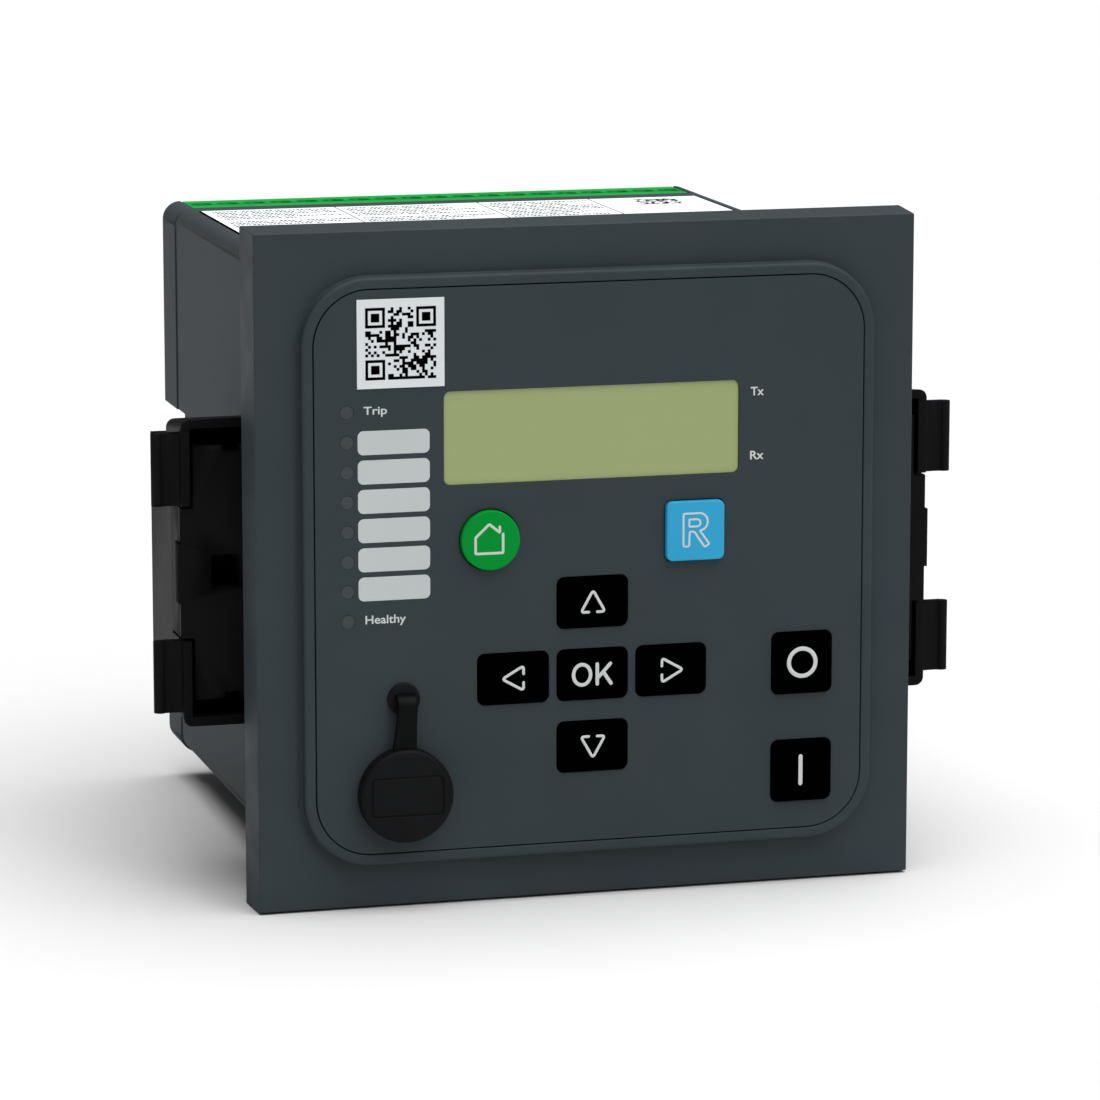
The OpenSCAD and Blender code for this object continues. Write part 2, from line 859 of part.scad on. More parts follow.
// Saw teeth along the channel's floor, steep towards the rear
module rack() {
  root = 0.1;
  steep = 0.9;
  points = concat(
    [[-over, 0]],
    [for (i = [0 : tooth_count - 1])
      each [[root, i * tooth_pitch], [tooth_h, (i + steep) * tooth_pitch]]],
    [[-over, tooth_count * tooth_pitch]]
  );
  translate([channel_floor, rack_start, clip_z - rack_h / 2])
    linear_extrude(rack_h) polygon(points);
}

module board_guides(z, y1) {
  for (s = [-1, 1], level = [z - guide_t, z + board_t + fit_gap])
    translate([s * (case_in + over - guide_reach) / 2, (board_start + y1) / 2, level + guide_t / 2])
      cube([guide_reach + over, y1 - board_start, guide_t], center = true);
}

module case_shell() {
  color("#434647") {
    difference() {
      union() {
        translate([0, 0, -case_drop]) difference() {
          prism(-rebate, case_d) pane(case_size, case_size, case_r);
          prism(-rebate - over, case_d + over) square(case_in, center = true);
        }
        translate([0, 0, -case_drop]) prism(-collar_l, collar_back) difference() {
          square(collar_size, center = true);
          square(collar_in, center = true);
        }
        both_sides() channel_block(channel_front - channel_wall, case_d, 0);
        prism(-rebate - tab_t, -rebate)
          corner_places(collar_in / 2 - tab_size / 2 + over / 2) square(tab_size, center = true);
        prism(case_d - cover_post_l, cover_post_end)
          for (sx = [-1, 1], z = [cover_screw_low, cover_screw_high])
            translate([sx * (case_in / 2 + (over - corner_in - corner_post_d / 2) / 2), z])
              square([corner_in + corner_post_d / 2 + over, corner_post_d], center = true);
      }
      both_sides() prism(channel_front, case_d + over) translate([0, clip_z]) channel_section(0);
      prism(-rebate - tab_t - over, over)
        corner_places(corner_post) circle(d = case_screw_d + 2 * fit_gap);
      prism(cover_post_end - cover_screw_grip - fit_gap, case_d)
        cover_screw_places() circle(d = case_screw_d);
    }
    both_sides() rack();
    for (z = [output_z, supply_z]) board_guides(z, output_end - guide_reach);
  }
}

// Screw with a round head that points to the rear and a hexagon socket
module machine_screw(x, z, under_head, grip) {
  rod(x, z, case_screw_d, under_head - grip, under_head + over / 2);
  difference() {
    rod(x, z, case_screw_head_d, under_head, under_head + case_screw_head_t);
    translate([x, under_head + case_screw_head_t / 2, z]) rotate([-90, 0, 0])
      cylinder(d = case_screw_head_d / 2, h = case_screw_head_t, $fn = 6);
  }
}

module case_screws() {
  color("#b9bcc0") for (sx = [-1, 1], sz = [-1, 1])
    machine_screw(sx * corner_post, sz * corner_post - case_drop, -rebate,
                  tab_t + case_screw_grip);
}

module rear_cover() {
  pocket_l = upper_l + 2 * upper_gap;
  pocket_h = case_top - case_wall - upper_base + pocket_wall;
  tongue = case_in - 2 * fit_gap;
  color("#404446") difference() {
    union() {
      translate([0, 0, -case_drop]) {
        difference() {
          prism(cover_front, cover_back)
            translate([0, -cover_step]) pane(cover_size, cover_size, case_r + cover_step);
          prism(cover_front - over, cover_back - cover_wall) square(case_in, center = true);
        }
        prism(cover_front - tongue_l, cover_back - over) difference() {
          square(tongue, center = true);
          square(tongue - 2 * collar_wall, center = true);
        }
      }
      both_sides() channel_block(cover_front, cover_back, 0);
      prism(pocket_front, cover_back)
        translate([upper_x - pocket_l / 2 - pocket_wall, upper_base - pocket_wall])
          square([pocket_l + 2 * pocket_wall, pocket_h]);
      prism(cover_post_end, cover_back) cover_screw_places() circle(d = cover_boss_d);
    }
    both_sides() prism(cover_front - tongue_l - over, cover_back + over)
      translate([0, clip_z]) channel_section(0);
    both_sides() channel_block(cover_front - tongue_l - over, cover_front, fit_gap);
    box([upper_x - pocket_l / 2, cover_front, upper_base - upper_drop],
        [upper_x + pocket_l / 2, cover_back + over, far]);
    box([-far, pocket_front - far, case_top - case_wall - fit_gap], [far, cover_front, far]);
    prism(cover_back - cover_wall - over, cover_back + over) translate([0, lower_z])
      square([lower_l + 2 * fit_gap, lower_h + 2 * fit_gap], center = true);
    prism(cover_front - tongue_l - 2 * over, cover_back + over)
      cover_screw_places() circle(d = case_screw_d + 2 * fit_gap);
    prism(cover_back - head_recess, cover_back + over)
      cover_screw_places() circle(d = case_screw_head_d + 2 * fit_gap);
    rod(earth_x, earth_z, earth_d, cover_back - cover_wall - over, cover_back + over);
  }
}

module cover_screws() {
  grip = cover_back - head_recess - cover_post_end + cover_screw_grip;
  color("#b9bcc0") for (sx = [-1, 1], z = [cover_screw_low, cover_screw_high])
    machine_screw(sx * corner_post, z, cover_back - head_recess, grip);
}

// Upper half of a clip's frame, with a round outer corner, its top leaning down to the rear
module clip_half() {
  lean = atan(clip_narrowing / clip_d);
  low = [clip_in - over, -2 * clip_h];
  w = clip_out - low[0];
  intersection() {
    translate([0, clip_y, clip_h / 2]) rotate([-lean, 0, 0]) prism(-clip_d, 2 * clip_d) {
      translate(low) square([w - clip_r, 2 * clip_h]);
      translate(low) square([w, 2 * clip_h - clip_r]);
      translate([clip_out - clip_r, -clip_r]) circle(r = clip_r);
    }
    box([clip_in, clip_y, 0], [clip_out + over, clip_y + clip_d, clip_h]);
  }
}

// Hollow of a clip's frame, seen from the front
module clip_hollow_outline() {
  translate([(clip_in + clip_out) / 2, 0])
    pane(clip_out - clip_in - 2 * clip_wall, clip_h - 2 * clip_wall, inner_r);
}

// Plate inside the frame, which reaches out between the finger tabs
module inner_outline() {
  half = clip_h / 2 - clip_wall - inner_gap_z;
  difference() {
    translate([clip_in, -half]) square([inner_reach - clip_in, 2 * half]);
    for (s = [-1, 1]) translate([notch_x, s * half])
      square([notch_size[0], 2 * notch_size[1]], center = true);
  }
  translate([clip_in, -lever_h / 2]) square([clip_w + over, lever_h]);
}

// Finger tab: a hollowed plate with a thick outer lip
module finger_tab() {
  tab_set = 1;
  plate_y = clip_y + tab_set;
  plate_d = 3;
  lip_r = 1.4;
  scoop_r = 9;
  scoop_depth = 0.6;
  tip = clip_out + tab_reach - lip_r;
  linear_extrude(tab_h) {
    difference() {
      translate([clip_out - clip_wall, plate_y]) square([tip - clip_out + clip_wall, plate_d]);
      translate([(clip_out + tip) / 2, plate_y - scoop_r + scoop_depth]) circle(r = scoop_r);
    }
    translate([tip, plate_y + lip_r]) circle(r = lip_r);
  }
}

// Frame of a clip, open to the front, with a slotted plate inside
module clip_frame() {
  front = clip_y - over;
  floor_y = clip_y + clip_hollow;
  groove_y = inner_y + plate_front_t;
  gap = lever_h / 2 + lever_gap;
  difference() {
    union() {
      clip_half();
      mirror([0, 0, 1]) clip_half();
    }
    prism(front, inner_y) {
      clip_hollow_outline();
      translate([inner_reach, -gap]) square([clip_w, 2 * gap]);
    }
    prism(front, floor_y) {
      difference() {
        clip_hollow_outline();
        inner_outline();
      }
      for (low = [-gap, lever_h / 2]) translate([inner_reach, low]) square([clip_w, lever_gap]);
      translate([pocket_x, 0]) square(pocket_size, center = true);
    }
    box([clip_out - groove_depth, groove_y, -gap], [clip_out + over, groove_y + groove_t, gap]);
  }
  box([inner_reach, inner_y, -boss_h / 2], [clip_out + boss_out, inner_y + boss_d, boss_h / 2]);
}

// Foot that runs in the channel, with a groove over the teeth and a pawl
module clip_foot() {
  foot_set = 1;
  foot_front = clip_y + foot_set;
  groove_gap = 0.6;
  groove_h = rack_h + 2 * foot_set;
  groove_out = foot_in + tooth_h + groove_gap;
  pawl_start = 7;
  pawl_base = 0.1;
  pawl_reach = foot_in + tooth_h - groove_out - pawl_base;
  pawl_tip = 0.3;
  pawl_back = 0.5;
  difference() {
    union() {
      box([foot_in, foot_front, -foot_h / 2], [foot_out, tail_back, foot_h / 2]);
      box([foot_in, foot_front, -neck_h / 2], [clip_in + over / 2, tail_back, neck_h / 2]);
    }
    box([foot_in - over, foot_front - over, -groove_h / 2],
        [groove_out, tail_back + over, groove_h / 2]);
  }
  translate([groove_out + pawl_base, tail_back - pawl_start, -rack_h / 2]) linear_extrude(rack_h)
    polygon([[0, 0], [pawl_reach, tooth_pitch], [pawl_reach, tooth_pitch + pawl_tip],
             [0, tooth_pitch + pawl_back]]);
}

module clip_body() {
  tab_edge = clip_h / 2 - lever_inset + lever_gap;
  tail_front = clip_y + clip_d - over;
  translate([0, 0, clip_z]) {
    clip_frame();
    clip_foot();
    for (low = [tab_edge - tab_h, -tab_edge]) translate([0, 0, low]) finger_tab();
    box([clip_out - tail_t, tail_front, -tail_h / 2], [clip_out, tail_back, tail_h / 2]);
    for (low = [-tail_h / 2, tail_h / 2 - tail_web])
      box([clip_in, tail_front, low], [clip_out, tail_back, low + tail_web]);
  }
}

module right_clip() {
  color("#18191b") clip_body();
}

module left_clip() {
  color("#18191b") mirror([1, 0, 0]) clip_body();
}

function way_x(i) = upper_x + (i - (upper_ways - 1) / 2) * upper_pitch;

module upper_terminal() {
  color("#0f8c31") difference() {
    translate([upper_x, 0, 0]) rotate([90, 0, 90]) linear_extrude(upper_l, center = true) {
      translate([upper_front, upper_base]) square([upper_back - upper_front, upper_h - upper_edge]);
      translate([upper_front + upper_edge, upper_base])
        square([upper_back - upper_front - upper_edge, upper_h]);
      translate([upper_front + upper_edge, upper_top - upper_edge]) circle(r = upper_edge);
    }
    for (i = [0 : upper_ways - 1]) {
      translate([way_x(i), upper_mid, upper_top - upper_hole_depth])
        cylinder(d = upper_hole, h = upper_hole_depth + over, $fn = 32);
      box([way_x(i) - entry_size / 2, upper_back - entry_depth, entry_z - entry_size / 2],
          [way_x(i) + entry_size / 2, upper_back + over, entry_z + entry_size / 2]);
    }
  }
}

module upper_terminal_screws() {
  head_t = 1.6;
  slot = 0.7;
  head_gap = 0.6;
  color("#c3c6c8") for (i = [0 : upper_ways - 1])
    translate([way_x(i), upper_mid, upper_top - upper_hole_depth]) difference() {
      cylinder(d = upper_hole - 2 * head_gap, h = head_t, $fn = 32);
      translate([-upper_hole, -slot / 2, head_t - slot]) cube([2 * upper_hole, slot, slot + over]);
    }
}

module upper_terminal_cages() {
  cage_t = 2.4;
  cage_gap = 0.2;
  cage_wall = 0.5;
  cage_w = entry_size - 2 * cage_gap;
  cage_h = entry_size - 3 * cage_gap;
  color("#b5a46a") for (i = [0 : upper_ways - 1])
    translate([way_x(i), upper_back - entry_depth + cage_t / 2, entry_z - (entry_size - cage_h) / 2])
      difference() {
        cube([cage_w, cage_t, cage_h], center = true);
        translate([0, cage_t / 2, cage_wall / 2])
          cube([cage_w - 2 * cage_wall, cage_t, cage_h - 2 * cage_wall], center = true);
      }
}

function column_x(i) = (i - (lower_ways - 1) / 2) * lower_pitch;

module terminal_places() {
  for (i = [0 : lower_ways - 1], row = lower_rows)
    translate([column_x(i), lower_z + row]) children();
}

module lower_terminal() {
  flange = 2;
  corner = 1.5;
  color("#1c1d1f") difference() {
    translate([0, 0, lower_z]) {
      prism(lower_back - lower_t, lower_back) pane(lower_l, lower_h, corner);
      prism(lower_back - lower_t, cover_back - cover_wall)
        square([lower_l + 2 * flange, lower_h + 2 * flange], center = true);
    }
    prism(lower_back - cell_depth, lower_back + over)
      terminal_places() square([cell_w, cell_h], center = true);
    prism(lower_back - lower_t + lower_floor, lower_back)
      terminal_places() circle(d = earth_d, $fn = 32);
  }
}

module lower_terminal_screws() {
  y0 = lower_back - cell_depth;
  head_back = y0 + lower_screw_head_t;
  color("#c3c6c8") difference() {
    union() {
      prism(y0, head_back) terminal_places() circle(d = lower_screw_head_d);
      prism(y0 - lower_shank_l, y0 + over) terminal_places() circle(d = earth_d - 2 * fit_gap);
    }
    prism(head_back - slot_w, head_back + over)
      terminal_places() square([2 * lower_screw_head_d, slot_w], center = true);
  }
}

module earth_screw() {
  head_y = cover_back + washer_t;
  head_back = head_y + earth_head_t;
  color("#c3c6c8") difference() {
    union() {
      rod(earth_x, earth_z, washer_d, cover_back, head_y);
      rod(earth_x, earth_z, earth_head_d, head_y, head_back);
      rod(earth_x, earth_z, earth_d - 2 * fit_gap, cover_back - earth_shank_l, head_y + over);
    }
    prism(head_back - slot_w, head_back + over)
      translate([earth_x, earth_z]) square([2 * washer_d, slot_w], center = true);
  }
}

module slide_in_board(z, y1) {
  box([-board_w / 2, board_start, z], [board_w / 2, y1, z + board_t]);
}

module output_board() {
  color("#1d6b3a") slide_in_board(output_z, output_end);
}

module output_relays() {
  y0 = output_end - relay_size[1] - relay_rear;
  color("#2a5d9c") for (i = [0 : relay_count - 1])
    translate([(i - (relay_count - 1) / 2) * relay_pitch - relay_size[0] / 2, y0,
               output_z + board_t]) cube(relay_size);
}

module supply_board() {
  color("#1d6b3a") slide_in_board(supply_z, supply_end);
}

module current_transformers() {
  y0 = supply_end - transformer_size[1] / 2 - transformer_rear;
  middle = transformer_size[2] / 2;
  color("#24272b") for (i = [0 : transformer_count - 1])
    translate([(i - (transformer_count - 1) / 2) * transformer_pitch, y0,
               supply_z + board_t + middle]) difference() {
      cube(transformer_size, center = true);
      translate([0, 0, window_rise]) rotate([90, 0, 0])
        cylinder(d = window_d, h = far, center = true, $fn = 32);
    }
}

module supply_transformer() {
  core = winding_size;
  color("#8a6a2f") translate([winding_place[0], winding_place[1], supply_z + board_t + core[2] / 2]) {
    cube(core, center = true);
    rotate([0, 90, 0]) cylinder(d = bobbin_d, h = core[0] + 2 * bobbin_over, center = true);
  }
}

module supply_capacitors() {
  color("#2b2f5c") for (i = [0 : capacitor_count - 1])
    translate([capacitor_place[0] + i * capacitor_pitch, capacitor_place[1], supply_z + board_t])
      cylinder(d = capacitor_d, h = capacitor_h);
}

module board_links() {
  color("#dcdcd6") for (z = [output_z, supply_z])
    box([-link_w / 2, board_back, z + board_t],
        [link_w / 2, board_start + link_h, z + board_t + link_h]);
}

front_bezel();
front_plate();
display_window();
display_glass();
display_frame();
light_guides();
status_leds();
write_on_cards();
square_label();
rating_label();
home_key();
reset_key();
up_key();
down_key();
left_key();
right_key();
ok_key();
open_key();
close_key();
keypad_mat();
front_board();
front_board_screws();
service_socket();
cap_anchor();
service_cap();
case_shell();
case_screws();
rear_cover();
cover_screws();
left_clip();
right_clip();
upper_terminal();
upper_terminal_screws();
upper_terminal_cages();
lower_terminal();
lower_terminal_screws();
earth_screw();
output_board();
output_relays();
supply_board();
current_transformers();
supply_transformer();
supply_capacitors();
board_links();
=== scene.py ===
"""Dresses the panel-mounted protection relay and sets it in a plain pale studio."""

import logging
import math
from contextlib import contextmanager
from dataclasses import dataclass, field, replace
from enum import Enum
from typing import Callable, ClassVar, Iterator, Sequence

import bmesh
import bpy
from mathutils import Matrix, Vector


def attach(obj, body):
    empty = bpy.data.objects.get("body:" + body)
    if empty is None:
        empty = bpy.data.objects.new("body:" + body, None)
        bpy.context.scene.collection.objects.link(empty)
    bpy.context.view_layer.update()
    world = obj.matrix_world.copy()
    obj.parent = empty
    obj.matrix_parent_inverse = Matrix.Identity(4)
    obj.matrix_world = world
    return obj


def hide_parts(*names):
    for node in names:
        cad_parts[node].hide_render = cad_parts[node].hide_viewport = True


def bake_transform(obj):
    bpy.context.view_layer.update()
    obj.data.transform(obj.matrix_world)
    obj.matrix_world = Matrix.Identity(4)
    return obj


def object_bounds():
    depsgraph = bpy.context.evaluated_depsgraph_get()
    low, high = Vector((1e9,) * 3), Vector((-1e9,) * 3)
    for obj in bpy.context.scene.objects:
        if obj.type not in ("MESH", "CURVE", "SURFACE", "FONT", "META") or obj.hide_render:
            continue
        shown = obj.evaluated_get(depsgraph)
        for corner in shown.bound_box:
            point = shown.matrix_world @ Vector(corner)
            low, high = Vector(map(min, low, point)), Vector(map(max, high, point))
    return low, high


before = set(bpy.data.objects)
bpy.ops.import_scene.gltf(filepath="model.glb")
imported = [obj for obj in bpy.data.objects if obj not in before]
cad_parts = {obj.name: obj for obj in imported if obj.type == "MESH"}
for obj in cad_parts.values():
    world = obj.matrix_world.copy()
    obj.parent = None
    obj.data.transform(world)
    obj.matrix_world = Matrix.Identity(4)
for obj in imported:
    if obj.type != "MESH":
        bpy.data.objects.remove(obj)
CAD_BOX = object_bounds()

MM = 0.001
MAIN_BODY = "relay_body"
CAP_BODY = "service_cap"
log = logging.getLogger("protection_relay")

Flat = tuple[float, float]
Place = tuple[float, float, float]


class Relief(Enum):
    """How the fine relief of a finish runs over the surface."""

    GRAIN = (1.0, 1.0, 1.0)
    BRUSHED = (0.06, 1.0, 1.0)
    FIBRE = (1.0, 0.25, 1.0)


class Facing(Enum):
    """Which way a printed field looks, as the turn that takes it there."""

    FRONT = (math.pi / 2, 0, 0)
    TOP = (0, 0, 0)


def linear(code: str) -> tuple[float, float, float, float]:
    """Turns a colour code into the linear values a shader takes.

    Args:
        code: Six hexadecimal digits after a hash.

    Returns:
        Red, green, blue and an opaque alpha.
    """
    parts = [int(code[i:i + 2], 16) / 255 for i in (1, 3, 5)]
    red, green, blue = (((p + 0.055) / 1.055) ** 2.4 if p > 0.04045 else p / 12.92 for p in parts)
    return red, green, blue, 1.0


class NodeSheet:
    """A material's node tree with short calls for what the finishes share."""

    noise_band: ClassVar[Flat] = (0.3, 0.7)

    def __init__(self, name: str) -> None:
        """Starts an empty sheet with an output and a main shader."""
        self.material = bpy.data.materials.new(name)
        self.material.use_nodes = True
        self.tree = self.material.node_tree
        self.shader = self.tree.nodes["Principled BSDF"]

    def add(self, kind: str, **values: object) -> bpy.types.Node:
        """Adds a node and sets its inputs.

        Args:
            kind: Blender's name of the node type.
            values: Input values, keyed by socket name with _ for a blank.

        Returns:
            The new node.
        """
        made = self.tree.nodes.new(kind)
        for name, value in values.items():
            made.inputs[name.replace("_", " ")].default_value = value
        return made

    def link(self, source: bpy.types.NodeSocket, target: bpy.types.NodeSocket) -> None:
        """Joins two sockets."""
        self.tree.links.new(source, target)

    def coordinates(self, stretch: Place) -> bpy.types.NodeSocket:
        """Gives object coordinates, stretched along each axis.

        Args:
            stretch: Factor along X, Y and Z.

        Returns:
            The stretched vector's socket.
        """
        place = self.add("ShaderNodeTexCoord")
        mapping = self.add("ShaderNodeMapping", Scale=stretch)
        self.link(place.outputs["Object"], mapping.inputs["Vector"])
        return mapping.outputs["Vector"]

    def noise(self, vector: bpy.types.NodeSocket, feature: float, detail: float) -> bpy.types.NodeSocket:
        """Adds a noise whose features have a size in millimetres.

        Args:
            vector: Coordinates to read.
            feature: Size of a feature in millimetres.
            detail: Number of finer layers.

        Returns:
            The noise value's socket.
        """
        made = self.add("ShaderNodeTexNoise", Scale=1 / (feature * MM), Detail=detail)
        self.link(vector, made.inputs["Vector"])
        return made.outputs["Fac"]

    def spread(self, value: bpy.types.NodeSocket, low: float, high: float) -> bpy.types.NodeSocket:
        """Maps the middle of a noise onto a range.

        Args:
            value: Noise value.
            low: Result for a low value.
            high: Result for a high value.

        Returns:
            The mapped value's socket.
        """
        least, most = self.noise_band
        made = self.add("ShaderNodeMapRange", From_Min=least, From_Max=most, To_Min=low, To_Max=high)
        self.link(value, made.inputs["Value"])
        return made.outputs["Result"]

    def mix(self, factor: bpy.types.NodeSocket, first: object, second: object) -> bpy.types.NodeSocket:
        """Mixes two colours, each a fixed colour or a socket.

        Args:
            factor: Share of the second colour.
            first: Colour at factor 0.
            second: Colour at factor 1.

        Returns:
            The mixed colour's socket.
        """
        made = self.tree.nodes.new("ShaderNodeMix")
        made.data_type = "RGBA"
        self.link(factor, made.inputs[0])
        for socket, colour in ((made.inputs[6], first), (made.inputs[7], second)):
            if isinstance(colour, bpy.types.NodeSocket):
                self.link(colour, socket)
            else:
                socket.default_value = colour
        return made.outputs[2]


@dataclass(frozen=True)
class Finish:
    """A surface as its maker would order it: colour, sheen and relief."""

    name: str
    colour: str
    slot: str
    roughness: float = 0.5
    specular: float = 0.3
    metallic: float = 0.0
    coat: float = 0.0
    relief: Relief = Relief.GRAIN
    grain: float = 0.3
    depth: float = 0.02
    bump: float = 0.25
    mottle: float = 0.08
    uneven: float = 0.06

    cloud_size: ClassVar[float] = 22
    sheen_size: ClassVar[float] = 9
    coat_roughness: ClassVar[float] = 0.2
    rubbing: ClassVar[float] = 0.08
    least_roughness: ClassVar[float] = 0.1
    shelf: ClassVar[dict[str, bpy.types.Material]] = {}

    def tone(self, factor: float) -> tuple[float, float, float, float]:
        """Gives the finish's colour, lighter or darker by a factor."""
        red, green, blue, _ = linear(self.colour)
        return red * factor, green * factor, blue * factor, 1.0

    def worn(self) -> "Finish":
        """Gives the rubbed, slightly glossier form of this finish that shows along edges."""
        return replace(self, name=self.name + "_edge", bump=self.bump * 0.5, mottle=self.mottle * 1.5,
                       roughness=max(self.roughness - self.rubbing, self.least_roughness))

    def paint(self, sheet: NodeSheet, vector: bpy.types.NodeSocket) -> bpy.types.NodeSocket:
        """Lays the finish's colour with a slow, slight change over the surface.

        Args:
            sheet: Node sheet of the material.
            vector: Object coordinates.

        Returns:
            The colour's socket.
        """
        cloud = sheet.spread(sheet.noise(vector, self.cloud_size, 2), 0, 1)
        return sheet.mix(cloud, self.tone(1 - self.mottle), self.tone(1 + self.mottle))

    def material(self) -> bpy.types.Material:
        """Builds the finish's material once and hands it out again after that.

        Returns:
            The procedural material.
        """
        if self.name in self.shelf:
            return self.shelf[self.name]
        sheet = NodeSheet(self.name)
        shader = sheet.shader.inputs
        vector = sheet.coordinates(self.relief.value)
        fine = sheet.noise(vector, self.grain, 2)
        sheet.link(self.paint(sheet, vector), shader["Base Color"])
        sheen = sheet.noise(vector, self.sheen_size, 3)
        sheet.link(sheet.spread(sheen, self.roughness - self.uneven, self.roughness + self.uneven),
                   shader["Roughness"])
        bump = sheet.add("ShaderNodeBump", Strength=self.bump, Distance=self.depth * MM)
        sheet.link(fine, bump.inputs["Height"])
        sheet.link(bump.outputs["Normal"], shader["Normal"])
        shader["Metallic"].default_value = self.metallic
        shader["Specular IOR Level"].default_value = self.specular
        shader["Coat Weight"].default_value = self.coat
        shader["Coat Roughness"].default_value = self.coat_roughness
        self.shelf[self.name] = sheet.material
        return sheet.material


@dataclass(frozen=True)
class DisplayFinish(Finish):
    """The display's face: pale green with a faint raster of character cells."""

    cell: Flat = (3.1, 4.9)
    cell_share: float = 0.86
    cell_tone: float = 0.992

    def paint(self, sheet: NodeSheet, vector: bpy.types.NodeSocket) -> bpy.types.NodeSocket:
        """Lays the clouded colour and darkens the character cells a little.

        Args:
            sheet: Node sheet of the material.
            vector: Object coordinates.

        Returns:
            The colour's socket.
        """
        base = super().paint(sheet, vector)
        axes = sheet.add("ShaderNodeSeparateXYZ")
        sheet.link(vector, axes.inputs["Vector"])
        inside: list[bpy.types.NodeSocket] = []
        for axis, pitch in (("X", self.cell[0]), ("Z", self.cell[1])):
            wave = sheet.tree.nodes.new("ShaderNodeMath")
            wave.operation = "PINGPONG"
            wave.inputs[1].default_value = pitch * MM / 2
            sheet.link(axes.outputs[axis], wave.inputs[0])
            step = sheet.tree.nodes.new("ShaderNodeMath")
            step.operation = "LESS_THAN"
            step.inputs[1].default_value = pitch * MM / 2 * self.cell_share
            sheet.link(wave.outputs[0], step.inputs[0])
            inside.append(step.outputs[0])
        both = sheet.tree.nodes.new("ShaderNodeMath")
        both.operation = "MULTIPLY"
        sheet.link(inside[0], both.inputs[0])
        sheet.link(inside[1], both.inputs[1])
        return sheet.mix(both.outputs[0], base, self.tone(self.cell_tone))


BEZEL = Finish("slate_bezel_plastic", "#353d41", "bezel_plastic", roughness=0.55, specular=0.1,
               grain=0.22, depth=0.02, bump=0.3, mottle=0.05)
FILM = Finish("slate_front_film", "#353d41", "plate_film", roughness=0.6, specular=0.1,
              grain=0.12, depth=0.01, bump=0.2, mottle=0.04)
CASE = Finish("grey_case_plastic", "#3c4246", "case_plastic", roughness=0.6, specular=0.08,
              grain=0.3, depth=0.01, bump=0.06, mottle=0.006, uneven=0.008)
CLIP = Finish("black_clip_plastic", "#111113", "clip_plastic", roughness=0.55, specular=0.05,
              grain=0.35, depth=0.015, bump=0.1, mottle=0.04, uneven=0.01)
RUBBER = Finish("black_cap_rubber", "#0a0b0d", "cap_rubber", roughness=0.62, specular=0.12,
                grain=0.18, depth=0.02, bump=0.3, mottle=0.12)
# Painted shade: the strap is the cap's own rubber, made darker to stand in for the shade the strap lies in.
SHADED_STRAP_RUBBER = replace(RUBBER, name="black_strap_rubber_painted_shade", colour="#040506", roughness=0.5, specular=0.08)
LCD = DisplayFinish("display_face", "#99a572", "display_window", roughness=0.4, specular=0.2,
                    grain=1.5, depth=0.003, bump=0.04, mottle=0.006, uneven=0.02)
DISPLAY_BACK = Finish("display_back_glass", "#8c9868", "display_glass", roughness=0.2)
GUIDE = Finish("smoked_light_guide", "#3c4246", "light_guide", roughness=0.35, specular=0.2,
               grain=0.5, depth=0.006, bump=0.1)
LED = Finish("led_moulding", "#e0ddcc", "led_body", roughness=0.35)
CARD = Finish("card_paper", "#bec4c3", "card_grey", roughness=0.7, specular=0.15,
              relief=Relief.FIBRE, grain=0.25, depth=0.01, bump=0.2, mottle=0.02)
PAPER = Finish("label_paper", "#eef2f4", "label_white", roughness=0.6, specular=0.2,
               relief=Relief.FIBRE, grain=0.3, depth=0.008, bump=0.2, mottle=0.015)
SQUARE_PAPER = replace(PAPER, name="square_label_paper", colour="#d9dee1")
INK = Finish("pale_legend_ink", "#c8cccb", "card_grey", roughness=0.55, specular=0.2,
             grain=0.2, depth=0.006, bump=0.15, mottle=0.03)
BLACK_PRINT = Finish("black_label_print", "#020202", "key_black", roughness=0.7, specular=0.0,
                     grain=0.2, depth=0.004, bump=0.1)
KEY_GREEN = Finish("green_key_plastic", "#008d31", "key_green", roughness=0.5, specular=0.05,
                   grain=0.25, depth=0.012, bump=0.2, mottle=0.03)
KEY_BLUE = Finish("blue_key_plastic", "#2f9fcb", "key_blue", roughness=0.5, specular=0.12,
                  grain=0.25, depth=0.012, bump=0.2, mottle=0.03)
KEY_BLACK = Finish("black_key_plastic", "#010101", "key_black", roughness=0.7, specular=0.0,
                   grain=0.25, depth=0.012, bump=0.2, mottle=0.15)
MAT = Finish("grey_keypad_silicone", "#74797c", "silicone_grey", roughness=0.65)
BOARD = Finish("green_board_lacquer", "#1d6b3a", "board_green", roughness=0.35, grain=1.2, mottle=0.15)
STEEL = Finish("plated_screw_steel", "#b9bcc0", "plated_steel", roughness=0.3, metallic=1.0,
               relief=Relief.BRUSHED, grain=0.2, depth=0.01, bump=0.3, mottle=0.08)
BRASS = Finish("brass_cage", "#b5a46a", "cage_brass", roughness=0.32, metallic=1.0,
               relief=Relief.BRUSHED, grain=0.2, depth=0.01, bump=0.3)
GREEN_BLOCK = Finish("green_terminal_plastic", "#06983a", "terminal_green", roughness=0.5, specular=0.12,
                     grain=0.4, depth=0.02, bump=0.2, mottle=0.06)
